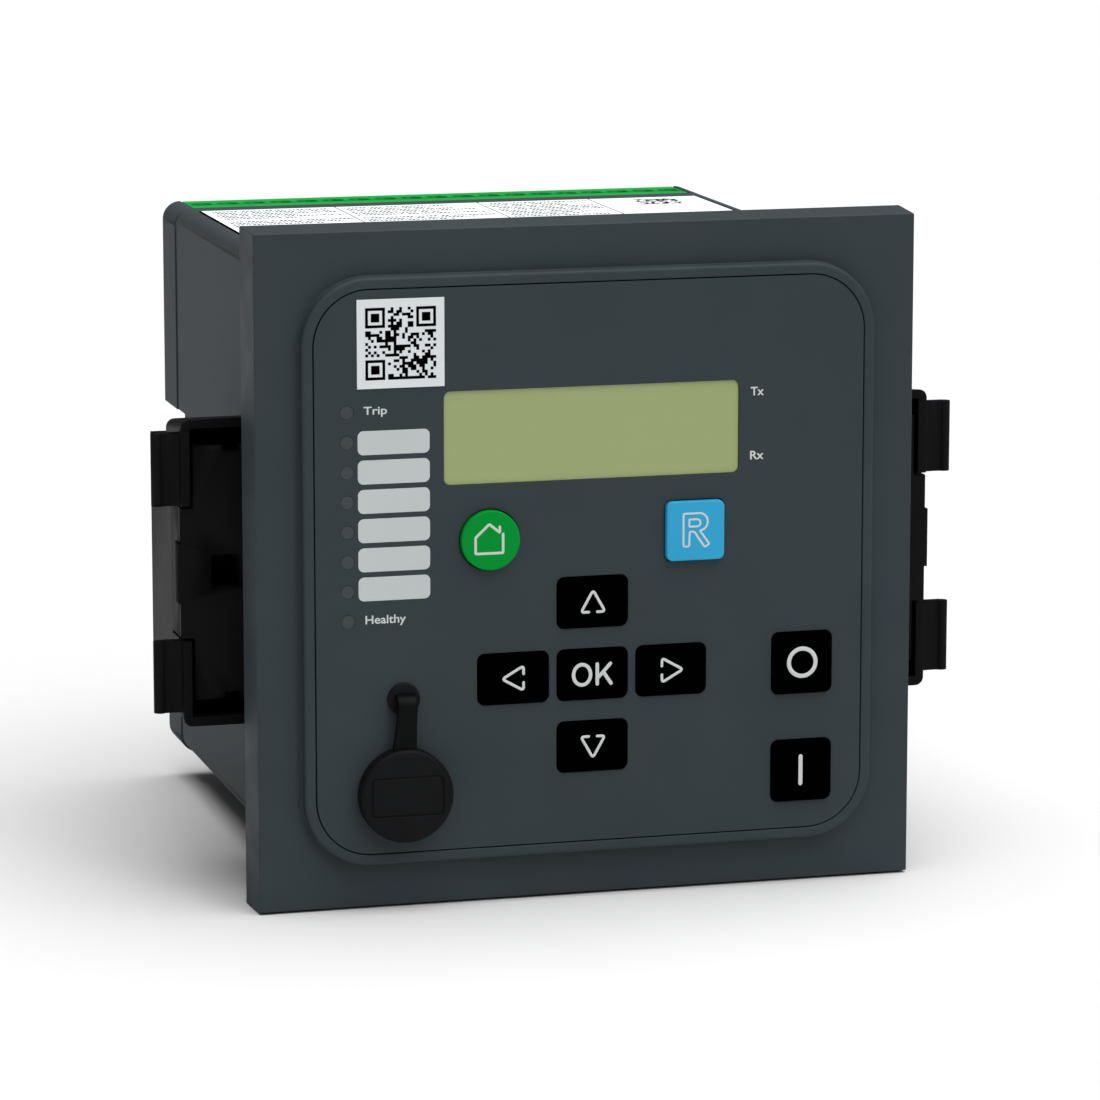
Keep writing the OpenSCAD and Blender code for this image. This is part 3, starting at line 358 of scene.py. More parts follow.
# Painted shade: a darker copy of the terminal green, laid on the screw holes' walls to stand in for the
# shade inside them.
GREEN_HOLE_PAINTED_SHADE = replace(GREEN_BLOCK, name="green_terminal_hole_painted_shade", colour="#06702a", specular=0.05)
BLACK_BLOCK = Finish("black_terminal_plastic", "#1c1d1f", "terminal_black", roughness=0.45,
                     grain=0.35, depth=0.02, mottle=0.12)
FRAME_BLACK = Finish("black_frame_paint", "#22262a", "black_frame", roughness=0.45)
RELAY_BLUE = Finish("blue_relay_cover", "#2a5d9c", "relay_blue", roughness=0.35)
WINDING = Finish("taped_winding", "#8a6a2f", "winding_copper", roughness=0.5, relief=Relief.BRUSHED,
                 grain=0.8, depth=0.1)
SLEEVE = Finish("capacitor_sleeve", "#2b2f5c", "capacitor_sleeve", roughness=0.25)
LINK = Finish("white_link_plastic", "#dcdcd6", "link_white", roughness=0.5)


class Bench:
    """Blender's operators, used one piece at a time as tools on a bench."""

    @staticmethod
    def take(piece: bpy.types.Object) -> None:
        """Selects one piece alone and makes it the active one."""
        if bpy.context.object and bpy.context.object.mode != "OBJECT":
            bpy.ops.object.mode_set(mode="OBJECT")
        bpy.ops.object.select_all(action="DESELECT")
        piece.select_set(True)
        bpy.context.view_layer.objects.active = piece

    @staticmethod
    def clear() -> None:
        """Leaves nothing selected, ready for a new primitive."""
        if bpy.context.object and bpy.context.object.mode != "OBJECT":
            bpy.ops.object.mode_set(mode="OBJECT")
        bpy.ops.object.select_all(action="DESELECT")

    @staticmethod
    @contextmanager
    def edit(piece: bpy.types.Object) -> Iterator[None]:
        """Opens a piece in edit mode with nothing selected, and closes it after.

        Args:
            piece: Mesh or curve to work on.

        Yields:
            Nothing; operators act on the piece meanwhile.
        """
        Bench.take(piece)
        bpy.ops.object.mode_set(mode="EDIT")
        yield
        bpy.ops.object.mode_set(mode="OBJECT")

    @staticmethod
    def pick(piece: bpy.types.Object, test: Callable[[bmesh.types.BMFace], bool]) -> int:
        """Selects the faces that pass a test, in edit mode.

        Args:
            piece: Mesh in edit mode.
            test: Says whether a face is wanted.

        Returns:
            How many faces are selected.
        """
        bpy.ops.mesh.select_mode(type="FACE")
        bpy.ops.mesh.select_all(action="DESELECT")
        mesh = bmesh.from_edit_mesh(piece.data)
        found = [face for face in mesh.faces if test(face)]
        for face in found:
            face.select_set(True)
        bmesh.update_edit_mesh(piece.data)
        return len(found)

    @staticmethod
    def modify(piece: bpy.types.Object, kind: str, **settings: object) -> None:
        """Adds a modifier, sets it and applies it.

        Args:
            piece: Mesh to modify.
            kind: Blender's name of the modifier type.
            settings: Modifier settings by name.
        """
        Bench.take(piece)
        made = piece.modifiers.new(kind.lower(), kind)
        for name, value in settings.items():
            setattr(made, name, value)
        bpy.ops.object.modifier_apply(modifier=made.name)

    @staticmethod
    def settle(piece: bpy.types.Object) -> None:
        """Puts a piece's place, turn and scale into its mesh."""
        Bench.take(piece)
        bpy.ops.object.transform_apply(location=True, rotation=True, scale=True)

    @staticmethod
    def mesh_of(piece: bpy.types.Object) -> bpy.types.Object:
        """Makes a curve or text object a mesh, with outward faces and no doubles."""
        Bench.take(piece)
        bpy.ops.object.convert(target="MESH")
        made = bpy.context.object
        with Bench.edit(made):
            bpy.ops.mesh.select_all(action="SELECT")
            bpy.ops.mesh.remove_doubles(threshold=1e-7)
            bpy.ops.mesh.normals_make_consistent(inside=False)
        return made

    @staticmethod
    def smooth(piece: bpy.types.Object, degrees: float = 40) -> None:
        """Shades a piece smooth, with edges past an angle kept sharp."""
        Bench.take(piece)
        bpy.ops.object.shade_smooth_by_angle(angle=math.radians(degrees))


def dress(piece: bpy.types.Object, finish: Finish, body: str) -> bpy.types.Object:
    """Gives a new piece its finish and body.

    Args:
        piece: Finished mesh at the origin.
        finish: Finish it wears.
        body: CAD body it rides on.

    Returns:
        The same piece.
    """
    if not piece.data.materials:
        piece.data.materials.append(finish.material())
    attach(piece, body)
    log.info("%s: %d faces on %s", piece.name, len(piece.data.polygons), body)
    return piece


@dataclass
class SoftenedNode:
    """A moulded CAD node whose sharp edges get the small radius of its mould."""

    node: str
    finish: Finish
    radius: float
    body: str = MAIN_BODY
    cut: tuple[Place, Place] | None = None
    angle: float = 35
    outer_only: bool = False

    weld: ClassVar[float] = 0.0002
    flat_angle: ClassVar[float] = 0.3
    box_reach: ClassVar[float] = 0.02
    longest_facet: ClassVar[float] = 2.5
    easy_turn: ClassVar[float] = 25
    steps: ClassVar[int] = 2
    normal_weight: ClassVar[int] = 90

    def copy_mesh(self) -> bpy.types.Object:
        """Copies the node's mesh, merges its loose triangles and clears flat seams.

        Returns:
            The copy, at the origin.
        """
        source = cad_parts[self.node]
        piece = bpy.data.objects.new(self.node + "_skin", source.data.copy())
        bpy.context.scene.collection.objects.link(piece)
        Bench.take(piece)
        bpy.ops.mesh.customdata_custom_splitnormals_clear()
        with Bench.edit(piece):
            bpy.ops.mesh.select_all(action="SELECT")
            bpy.ops.mesh.remove_doubles(threshold=self.weld * MM)
            if self.cut:
                point, normal = self.cut
                bpy.ops.mesh.bisect(plane_co=point, plane_no=normal, use_fill=True, clear_outer=True)
                bpy.ops.mesh.select_all(action="SELECT")
            bpy.ops.mesh.dissolve_limited(angle_limit=math.radians(self.flat_angle))
            if self.outer_only:
                bpy.ops.mesh.vert_connect_concave()
        return piece

    def mark_edges(self, piece: bpy.types.Object) -> None:
        """Marks the edges to round: sharp outer edges on the piece's own box, in long smooth runs.

        Args:
            piece: Mesh of the copy.
        """
        with Bench.edit(piece):
            mesh = bmesh.from_edit_mesh(piece.data)
            weight = mesh.edges.layers.float.new("bevel_weight_edge")
            places = [[v.co[axis] for v in mesh.verts] for axis in range(3)]
            sides = [(axis, limit) for axis in range(3) for limit in (min(places[axis]), max(places[axis]))]

            def outside(edge: bmesh.types.BMEdge) -> bool:
                """Says whether an edge lies on one side of the piece's box."""
                return any(all(abs(v.co[axis] - limit) < self.box_reach * MM for v in edge.verts)
                           for axis, limit in sides)

            sharp = {edge for edge in mesh.edges if len(edge.link_faces) == 2 and edge.is_convex
                     and edge.calc_face_angle() > math.radians(self.angle) and outside(edge)}
            chosen = {edge for edge in sharp if edge.calc_length() > self.longest_facet * MM}
            runs = list(chosen)
            while runs:
                edge = runs.pop()
                way = edge.verts[1].co - edge.verts[0].co
                nearby = {other for vertex in edge.verts for other in vertex.link_edges}
                for other in (nearby & sharp) - chosen:
                    turn = way.angle(other.verts[1].co - other.verts[0].co)
                    if min(turn, math.pi - turn) < math.radians(self.easy_turn):
                        chosen.add(other)
                        runs.append(other)
            for edge in chosen:
                edge[weight] = 1.0
            bmesh.update_edit_mesh(piece.data)

    def build(self) -> bpy.types.Object:
        """Rounds the copy's edges and lets it stand for the node.

        Returns:
            The softened piece.
        """
        piece = self.copy_mesh()
        piece.data.materials.clear()
        piece.data.materials.append(self.finish.material())
        piece.data.materials.append(self.finish.worn().material())
        Bench.take(piece)
        bpy.ops.object.shade_smooth()
        if self.outer_only:
            self.mark_edges(piece)
        Bench.modify(piece, "BEVEL", width=self.radius * MM, segments=self.steps,
                     limit_method="WEIGHT" if self.outer_only else "ANGLE",
                     angle_limit=math.radians(self.angle), use_clamp_overlap=False,
                     loop_slide=not self.outer_only, material=1)
        Bench.modify(piece, "WEIGHTED_NORMAL", mode="FACE_AREA", weight=self.normal_weight)
        dress(piece, self.finish, self.body)
        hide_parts(self.node)
        return piece


@dataclass
class Stroke:
    """A raised line of ink on a key, drawn as a pen with a round nib."""

    points: Sequence[Flat]
    width: float
    closed: bool = False
    turn: float = 0.0
    height: float = 0.06

    corner_steps: ClassVar[int] = 4
    nib_steps: ClassVar[int] = 3
    nib: ClassVar[tuple[Flat, ...]] = ((0.5, 0.866), (0.8, 0.6), (0.95, 0.31), (0.99, 0.14))
    sharp_angle: ClassVar[float] = 60

    def rounded(self) -> list[Flat]:
        """Rounds the line's corners.

        Returns:
            The line's points, with a short arc at each corner.
        """
        if not self.turn:
            return list(self.points)
        count = len(self.points)
        path: list[Flat] = []
        for i, point in enumerate(self.points):
            if not self.closed and i in (0, count - 1):
                path.append(point)
                continue
            here = Vector(point)
            before = Vector(self.points[i - 1]) - here
            after = Vector(self.points[(i + 1) % count]) - here
            start = here + before.normalized() * min(self.turn, before.length / 2)
            end = here + after.normalized() * min(self.turn, after.length / 2)
            for step in range(self.corner_steps + 1):
                share = step / self.corner_steps
                mid = start.lerp(here, share).lerp(here.lerp(end, share), share)
                path.append((mid.x, mid.y))
        return path

    def nib_ends(self, path: list[Flat]) -> tuple[list[Flat], list[float]]:
        """Adds a round end to each end of an open line.

        Args:
            path: Points of the line.

        Returns:
            Longer list of points, and the nib's share at each.
        """
        shares = [1.0] * len(path)
        if self.closed:
            return path, shares
        radius = self.width / 2
        first = (Vector(path[0]) - Vector(path[1])).normalized()
        last = (Vector(path[-1]) - Vector(path[-2])).normalized()
        head = [tuple(Vector(path[0]) + first * radius * reach) for reach, _ in reversed(self.nib)]
        tail = [tuple(Vector(path[-1]) + last * radius * reach) for reach, _ in self.nib]
        nib = [share for _, share in self.nib]
        return head + path + tail, nib[::-1] + shares + nib

    def draw(self, name: str, middle: Place) -> bpy.types.Object:
        """Draws the line as a low closed ridge on a face that looks to the front.

        Args:
            name: Name of the piece.
            middle: Where the line's own origin lies, in millimetres.

        Returns:
            The ridge as a mesh at the origin.
        """
        path, shares = self.nib_ends(self.rounded())
        Bench.clear()
        bpy.ops.mesh.primitive_plane_add(size=MM)
        line = bpy.context.object
        line.name = name
        with Bench.edit(line):
            bpy.ops.mesh.select_mode(type="VERT")
            bpy.ops.mesh.select_all(action="SELECT")
            bpy.ops.mesh.merge(type="CENTER")
            bpy.ops.transform.translate(value=(path[0][0] * MM, path[0][1] * MM, 0))
            bpy.ops.mesh.select_all(action="SELECT")
            for (x0, z0), (x1, z1) in zip(path, path[1:]):
                bpy.ops.mesh.extrude_region_move(
                    TRANSFORM_OT_translate={"value": ((x1 - x0) * MM, (z1 - z0) * MM, 0)})
            if self.closed:
                bpy.ops.mesh.select_all(action="SELECT")
                bpy.ops.mesh.edge_face_add()
                bpy.ops.mesh.delete(type="ONLY_FACE")
        Bench.take(line)
        bpy.ops.object.convert(target="CURVE")
        curve = bpy.context.object.data
        curve.dimensions = "3D"
        curve.bevel_depth = self.width / 2 * MM
        curve.bevel_resolution = self.nib_steps
        curve.use_fill_caps = not self.closed
        for point, share in zip(curve.splines[0].points, shares):
            point.radius = share
        ridge = Bench.mesh_of(bpy.context.object)
        ridge.scale = (1, 1, 2 * self.height / self.width)
        ridge.rotation_euler = (math.pi / 2, 0, 0)
        ridge.location = Vector(middle) * MM
        Bench.settle(ridge)
        Bench.smooth(ridge, self.sharp_angle)
        return ridge


@dataclass
class Word:
    """A short printed word on the front."""

    text: str
    cap_height: float
    width: float
    bold: float = 0.045
    height: float = 0.03

    cap_share: ClassVar[float] = 0.73
    curve_steps: ClassVar[int] = 6
    sharp_angle: ClassVar[float] = 30

    def draw(self, name: str, middle: Place) -> bpy.types.Object:
        """Prints the word as a thin closed mesh that looks to the front.

        Args:
            name: Name of the piece.
            middle: Middle of the word on its face, in millimetres.

        Returns:
            The printed word at the origin.
        """
        Bench.clear()
        bpy.ops.object.text_add()
        text = bpy.context.object
        text.name = name
        text.data.body = self.text
        text.data.size = self.cap_height / self.cap_share * MM
        text.data.offset = self.bold * MM
        text.data.resolution_u = self.curve_steps
        text.data.extrude = self.height * MM
        mesh = Bench.mesh_of(text)
        corners = [Vector(c) for c in mesh.bound_box]
        low = Vector(map(min, *corners))
        high = Vector(map(max, *corners))
        size = high - low
        mesh.data.transform(Matrix.Translation(-(low + high) / 2))
        mesh.scale = (self.width * MM / size.x, self.cap_height * MM / size.y, 1)
        mesh.rotation_euler = (math.pi / 2, 0, 0)
        mesh.location = Vector(middle) * MM
        Bench.settle(mesh)
        Bench.smooth(mesh, self.sharp_angle)
        return mesh


@dataclass
class PrintedField:
    """A field of small printed cells on a label, chosen cell by cell by a rule."""

    name: str
    middle: Place
    size: Flat
    cells: tuple[int, int]
    rule: Callable[[int, int], bool]
    facing: Facing
    finish: Finish
    thickness: float = 0.02

    def build(self) -> bpy.types.Object:
        """Lays a grid, keeps the cells the rule wants and gives them a thickness.

        Returns:
            The printed cells as one piece.
        """
        columns, rows = self.cells
        Bench.clear()
        bpy.ops.mesh.primitive_grid_add(x_subdivisions=columns, y_subdivisions=rows, size=1)
        sheet = bpy.context.object
        sheet.name = self.name

        def unwanted(face: bmesh.types.BMFace) -> bool:
            """Says whether the rule leaves this cell bare."""
            spot = face.calc_center_median()
            column = int((spot.x + 0.5) * columns)
            row = int((0.5 - spot.y) * rows)
            return not self.rule(column, row)

        with Bench.edit(sheet):
            if Bench.pick(sheet, unwanted):
                bpy.ops.mesh.delete(type="FACE")
            bpy.ops.mesh.select_all(action="SELECT")
            bpy.ops.mesh.dissolve_limited(angle_limit=math.radians(1))
            bpy.ops.mesh.edge_split(type="VERT")
        sheet.scale = (self.size[0] * MM, self.size[1] * MM, 1)
        sheet.rotation_euler = self.facing.value
        sheet.location = Vector(self.middle) * MM
        Bench.settle(sheet)
        Bench.modify(sheet, "SOLIDIFY", thickness=self.thickness * MM, offset=1)
        return dress(sheet, self.finish, MAIN_BODY)


def scatter(column: int, row: int, seed: int) -> float:
    """Gives a fixed, even-looking number between 0 and 1 for a cell."""
    value = math.sin(column * 12.9898 + row * 78.233 + seed * 37.719) * 43758.5453
    return value - math.floor(value)


@dataclass
class FrontPanel:
    """Bezel, front plate, cards, the printed words and the square label's pattern."""

    face_y: float = -15.0
    label_t: float = 0.2
    words: tuple[tuple[str, str, float, float, float, float], ...] = (
        ("trip_word", "Trip", -49.6, 36.4, 2.35, 5.3),
        ("healthy_word", "Healthy", -47.5, -10.4, 2.5, 9.2),
        ("send_word", "Tx", 38.3, 37.5, 1.95, 3.1),
        ("receive_word", "Rx", 38.3, 23.0, 1.95, 3.2),
    )
    code_middle: Flat = (-43.8, 51.4)
    code_side: float = 16.0
    code_cells: int = 25
    corner_cells: int = 7
    code_seed: int = 5

    def code_cell(self, column: int, row: int) -> bool:
        """Says whether a cell of the square label's generic pattern is black."""
        last = self.code_cells - 1
        across, down = min(column, last - column), min(row, last - row)
        in_corner = across <= self.corner_cells and down <= self.corner_cells
        if in_corner and not (column > last / 2 and row > last / 2):
            ring = max(abs(across - 3), abs(down - 3))
            return ring in (0, 1, 3)
        return scatter(column, row, self.code_seed) > 0.5

    def build(self) -> None:
        """Makes the front's softened mouldings, words and the square label's pattern."""
        SoftenedNode("front_bezel", BEZEL, 0.3).build()
        SoftenedNode("front_plate", FILM, 0.1).build()
        SoftenedNode("write_on_cards", CARD, 0.06).build()
        for name, text, x, z, cap, width in self.words:
            word = Word(text, cap, width).draw(name, (x, self.face_y, z))
            dress(word, INK, MAIN_BODY)
        x, z = self.code_middle
        PrintedField("square_label_pattern", (x, self.face_y - self.label_t, z),
                     (self.code_side, self.code_side), (self.code_cells, self.code_cells),
                     self.code_cell, Facing.FRONT, BLACK_PRINT).build()


@dataclass
class Keypad:
    """The nine keys' raised legends."""

    arrow_y: float = -15.6
    switch_y: float = -15.9
    upper_y: float = -16.3
    arrow_z: float = -25.05
    pitch_x: float = 18.35
    pitch_z: float = 16.47
    upper_z: float = 6.6
    house_x: float = -24.1
    letter_x: float = 23.2
    ring_place: Flat = (49.15, -24.9)
    bar_place: Flat = (48.95, -49.85)
    line: float = 0.62
    arrow_turn: float = 0.8
    bold_line: float = 0.82
    house_line: float = 0.58
    house_turn: float = 0.25
    letter_line: float = 0.46
    letter_turn: float = 0.35
    counter_turn: float = 0.15
    ring_line: float = 0.96
    ring_radius: float = 3.16
    ring_steps: int = 48
    bar_line: float = 0.97
    bar_end: float = 3.12
    house: tuple[Flat, ...] = ((3.15, 1.4), (3.15, -2.85), (-3.15, -2.85), (-3.15, 0.8),
                               (0, 3.7), (2.4, 1.75), (2.4, 3.05))
    arrow: tuple[Flat, ...] = ((-1.0, -2.25), (-2.8, -2.25), (0, 2.7), (2.8, -2.25), (1.0, -2.25))

    def arrow_legend(self, key: str, place: Flat, quarter_turns: int) -> None:
        """Draws an open triangle that points away from the group's middle.

        Args:
            key: Name of the key's body.
            place: Middle of the key, sideways and up.
            quarter_turns: Turns to the left from pointing up.
        """
        angle = quarter_turns * math.pi / 2
        cos, sin = round(math.cos(angle)), round(math.sin(angle))
        points = [(x * cos - z * sin, x * sin + z * cos) for x, z in self.arrow]
        stroke = Stroke(points, self.line, turn=self.arrow_turn)
        dress(stroke.draw(key + "_legend", (place[0], self.arrow_y, place[1])), INK, key)

    @staticmethod
    def letter_outline() -> list[Flat]:
        """Gives the outline of the reset key's letter: stem, round bowl and leg."""
        bowl = [(1.4 + 1.88 * math.cos(a), 2.0 + 1.97 * math.sin(a))
                for a in (math.radians(d) for d in range(90, -61, -15))]
        return [(-2.4, -3.5), (-2.4, 3.97), *bowl, (1.42, 0), (3.65, -3.1), (2.6, -3.8), (0.1, -0.15),
                (-0.95, -0.15), (-1.05, -3.5)]

    @staticmethod
    def letter_counter() -> list[Flat]:
        """Gives the outline of the hole in that letter's bowl."""
        end = [(0.75 + 0.83 * math.cos(a), 1.8 + 0.82 * math.sin(a))
               for a in (math.radians(d) for d in range(90, -91, -20))]
        return [(-1.03, 0.98), (-1.03, 2.62), *end]

    def confirm_letters(self) -> list[tuple[str, Stroke]]:
        """Gives the strokes of the two letters on the confirming key."""
        round_letter = [(-2.54 + 1.98 * math.cos(a), 2.33 * math.sin(a))
                        for a in (math.radians(d) for d in range(0, 360, 10))]
        return [
            ("legend", Stroke(round_letter, self.bold_line, closed=True)),
            ("stem", Stroke(((1.0, -2.26), (1.0, 0), (1.0, 2.26)), self.bold_line)),
            ("arm", Stroke(((1.25, -0.75), (2.65, 0.75), (4.05, 2.26)), self.bold_line)),
            ("leg", Stroke(((2.4, 0.4), (3.3, -0.92), (4.2, -2.26)), self.bold_line)),
        ]

    def build(self) -> None:
        """Draws every key's legend on its face."""
        for key, place, turns in (
            ("up_key", (0, self.arrow_z + self.pitch_z), 0),
            ("left_key", (-self.pitch_x, self.arrow_z), 1),
            ("down_key", (0, self.arrow_z - self.pitch_z), 2),
            ("right_key", (self.pitch_x, self.arrow_z), 3),
        ):
            self.arrow_legend(key, place, turns)
        house = Stroke(self.house, self.house_line, turn=self.house_turn)
        dress(house.draw("home_key_legend", (self.house_x, self.upper_y, self.upper_z)), INK, "home_key")
        letter_place = (self.letter_x, self.upper_y, self.upper_z)
        for name, outline, turn in (("legend", self.letter_outline(), self.letter_turn),
                                    ("counter", self.letter_counter(), self.counter_turn)):
            line = Stroke(outline, self.letter_line, closed=True, turn=turn)
            dress(line.draw(f"reset_key_{name}", letter_place), INK, "reset_key")
        for name, stroke in self.confirm_letters():
            dress(stroke.draw(f"ok_key_{name}", (0, self.arrow_y, self.arrow_z)), INK, "ok_key")
        angles = [step * math.tau / self.ring_steps for step in range(self.ring_steps)]
        ring = [(self.ring_radius * math.cos(a), self.ring_radius * math.sin(a)) for a in angles]
        bar = ((0, -self.bar_end), (0, 0), (0, self.bar_end))
        for key, stroke, (x, z) in (
            ("open_key", Stroke(ring, self.ring_line, closed=True), self.ring_place),
            ("close_key", Stroke(bar, self.bar_line), self.bar_place),
        ):
            dress(stroke.draw(key + "_legend", (x, self.switch_y, z)), INK, key)


@dataclass
class ServicePort:
    """The rubber cap over the service socket, its button and the strap between them."""

    x: float = -43.6
    cap_top: float = -39.2
    button_face: float = -16.0
    thickness: float = 1.5
    stations: tuple[tuple[float, float, float, float], ...] = (
        (-15.4, -27.7, 90, 4.7), (-15.9, -27.7, 90, 4.7), (-16.5, -27.78, 105, 4.7),
        (-17.05, -28.0, 120, 4.7), (-17.53, -28.37, 135, 4.65), (-17.89, -28.85, 150, 4.6),
        (-18.12, -29.4, 165, 4.55), (-18.2, -30.0, 180, 4.5), (-18.18, -31.5, 181, 4.5),
        (-18.1, -33.0, 184, 4.55), (-17.95, -34.5, 187, 4.7), (-17.75, -36.0, 188, 4.9),
        (-17.52, -37.5, 189, 5.1), (-17.33, -38.7, 189, 5.25), (-17.15, -40.0, 188, 5.4),
    )
    slant: float = 0.05
    slant_from: float = -34.0
    bend_from: Place = (-43.6, -18.5, -29.4)
    bend_to: Place = (-43.6, -18.5, -33.4)
    strap_edge: float = 0.4
    strap_edge_steps: int = 3
    strap_edge_angle: float = 50
    strap_sharp_angle: float = 60
    cap_cut_above: float = 0.5
    button_cut_before: float = 0.01

    def across(self, z: float) -> float:
        """Gives the strap's sideways place at a height, as it hangs a little aslant."""
        return self.x + self.slant * (z - self.slant_from)

    def strap(self) -> bpy.types.Object:
        """Draws the strap out of the button, over its fold and down into the cap.

        Returns:
            The strap, bending between the relay and the cap.
        """
        Bench.clear()
        y, z, lean, width = self.stations[0]
        bpy.ops.mesh.primitive_plane_add(size=MM, location=Vector((self.across(z), y, z)) * MM)
        strap = bpy.context.object
        strap.name = "cap_strap"
        strap.scale = (width, self.thickness, 1)
        strap.rotation_euler = (math.radians(lean), 0, 0)
        Bench.settle(strap)
        with Bench.edit(strap):
            bpy.ops.mesh.select_all(action="SELECT")
            for before, here in zip(self.stations, self.stations[1:]):
                centre = Vector((self.across(here[1]), here[0], here[1])) * MM
                start = Vector((self.across(before[1]), before[0], before[1])) * MM
                bpy.ops.mesh.extrude_region_move(TRANSFORM_OT_translate={"value": centre - start})
                turn = math.radians(here[2] - before[2])
                if turn:
                    self.turn_selection(strap, turn, centre)
                bpy.ops.transform.resize(value=(here[3] / before[3], 1, 1), center_override=centre)
            bpy.ops.mesh.select_all(action="SELECT")
            bpy.ops.mesh.normals_make_consistent(inside=False)
        Bench.modify(strap, "BEVEL", width=self.strap_edge * MM, segments=self.strap_edge_steps,
                     limit_method="ANGLE", angle_limit=math.radians(self.strap_edge_angle))
        Bench.modify(strap, "SUBSURF", levels=1, render_levels=1)
        Bench.smooth(strap, self.strap_sharp_angle)
        # The strap wears the darker copy of the cap rubber: painted shade.
        strap.data.materials.append(SHADED_STRAP_RUBBER.material())
        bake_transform(strap)
        log.info("%s: %d faces", strap.name, len(strap.data.polygons))
        return strap

    @staticmethod
    def turn_selection(piece: bpy.types.Object, angle: float, centre: Vector) -> None:
        """Turns the selected end of a piece about the X axis.

        Args:
            piece: Mesh in edit mode.
            angle: Turn in radians.
            centre: Point the turn goes round, in metres.
        """
        mesh = bmesh.from_edit_mesh(piece.data)
        chosen = [v for v in mesh.verts if v.select]
        turn = Matrix.Rotation(angle, 3, "X")
        for vertex in chosen:
            vertex.co = centre + turn @ (vertex.co - centre)
        bmesh.update_edit_mesh(piece.data)

    def build(self) -> None:
        """Makes the cap, its button and the strap."""
        SoftenedNode("service_cap", RUBBER, 0.15, CAP_BODY,
                     cut=((0, 0, (self.cap_top + self.cap_cut_above) * MM), (0, 0, 1))).build()
        SoftenedNode("cap_anchor", RUBBER, 0.3,
                     cut=((0, (self.button_face - self.button_cut_before) * MM, 0), (0, -1, 0))).build()
        self.strap()


@dataclass
class Housing:
    """Case, rear cover, clips, terminals and the printed rating label."""

    label_top: float = 67.0
    label_t: float = 0.2
    label_y: Flat = (4.0, 110.0)
    columns: tuple[Flat, ...] = ((-61.4, -31.0), (-28.6, 4.4), (7.0, 32.6))
    rules: tuple[float, ...] = (-29.9, 5.7, 33.9)
    rule_width: float = 0.3
    rims: Flat = (-63.05, 61.55)
    rim_width: float = 0.5
    rule_inset: float = 0.2
    rule_cells: int = 24
    ink_t: float = 0.02
    end_inset: float = 2.5
    row_pitch: float = 3.0
    cell: float = 0.32
    longest_word: int = 11
    empty_rows: float = 0.1
    shortest_row: float = 0.55
    row_spread: float = 0.5
    row_seed: int = 11
    mark_x: float = 49.0
    mark_inset: float = 9.0
    mark_side: float = 11.0
    mark_cells: int = 13
    mark_seed: int = 3
    hole_band: Place = (126.8, 2.6, 66.75)
    hole_depth: float = 3.2
    wall_tilt: float = 0.2

    def print_rows(self) -> None:
        """Prints the rating label's rows of fine type as plain dashes."""
        low, high = self.label_y
        length = high - low - 2 * self.end_inset
        rows = round(length / self.row_pitch) * 2
        for index, (x0, x1) in enumerate(self.columns):
            count = round((x1 - x0) / self.cell)

            def typed(column: int, row: int, seed: int = index, ends: int = count) -> bool:
                """Says whether a dash covers this cell of the block."""
                line = row // 2
                full = scatter(0, line, seed + self.row_seed)
                blank = scatter(column // self.longest_word, line, seed) * self.longest_word
                reach = ends * (self.shortest_row + self.row_spread * full)
                inked = row % 2 == 0 and column % 3 != 0 and full > self.empty_rows
                return inked and column < reach and abs(column % self.longest_word - blank) > 1

            PrintedField(f"rating_rows_{index + 1}", ((x0 + x1) / 2, (low + high) / 2, self.label_top),
                         (x1 - x0, length), (count, rows), typed, Facing.TOP, BLACK_PRINT).build()

    def print_rules(self) -> None:
        """Prints the label's column rules and a generic square mark, and lays a dark strip along the
        label's left and right edges that reaches down over its thickness.
        """
        low, high = self.label_y
        middle = (low + high) / 2
        length = high - low - 2 * self.rule_inset
        strips = [(x, self.rule_width, self.ink_t) for x in self.rules]
        # Dark strips along the label's left and right edges, as deep as the label is thick.
        strips += [(x, self.rim_width, self.label_t + self.ink_t) for x in self.rims]
        for index, (x, width, thickness) in enumerate(strips):
            base = self.label_top + self.ink_t - thickness
            PrintedField(f"rating_rule_{index + 1}", (x, middle, base), (width, length),
                         (1, self.rule_cells), lambda column, row: True, Facing.TOP, BLACK_PRINT,
                         thickness).build()
        PrintedField("rating_mark", (self.mark_x, high - self.mark_inset, self.label_top),
                     (self.mark_side, self.mark_side), (self.mark_cells, self.mark_cells),
                     lambda column, row: scatter(column, row, self.mark_seed) > 0.5,
                     Facing.TOP, BLACK_PRINT).build()

    def shade_holes(self, strip: bpy.types.Object) -> None:
        """Paints the walls of the upper strip's screw holes a deeper green, as painted shade for the dark
        inside of the holes.

        Args:
            strip: The strip's softened moulding.
        """
        strip.data.materials.append(GREEN_HOLE_PAINTED_SHADE.material())
        middle, reach, top = (value * MM for value in self.hole_band)

        def hole_wall(face: bmesh.types.BMFace) -> bool:
            """Says whether a face is a wall of a screw hole."""
            spot = face.calc_center_median()
            upright = abs(face.normal.z) < self.wall_tilt
            return upright and abs(spot.y - middle) < reach and top - self.hole_depth * MM < spot.z < top

        with Bench.edit(strip):
            Bench.pick(strip, hole_wall)
            # The hole walls take the darker green: painted shade for the holes' dark inside.
            strip.active_material_index = 2
            bpy.ops.object.material_slot_assign()

    def build(self) -> None:
        """Makes the softened mouldings behind the panel and the label's print."""
        SoftenedNode("case_shell", CASE, 0.25, outer_only=True).build()
        SoftenedNode("rear_cover", CASE, 0.2, outer_only=True).build()
        for clip in ("left_clip", "right_clip"):
            SoftenedNode(clip, CLIP, 0.2, clip, outer_only=True).build()
        self.shade_holes(SoftenedNode("upper_terminal", GREEN_BLOCK, 0.2, outer_only=True).build())
        SoftenedNode("lower_terminal", BLACK_BLOCK, 0.25, outer_only=True).build()
        self.print_rows()
        self.print_rules()


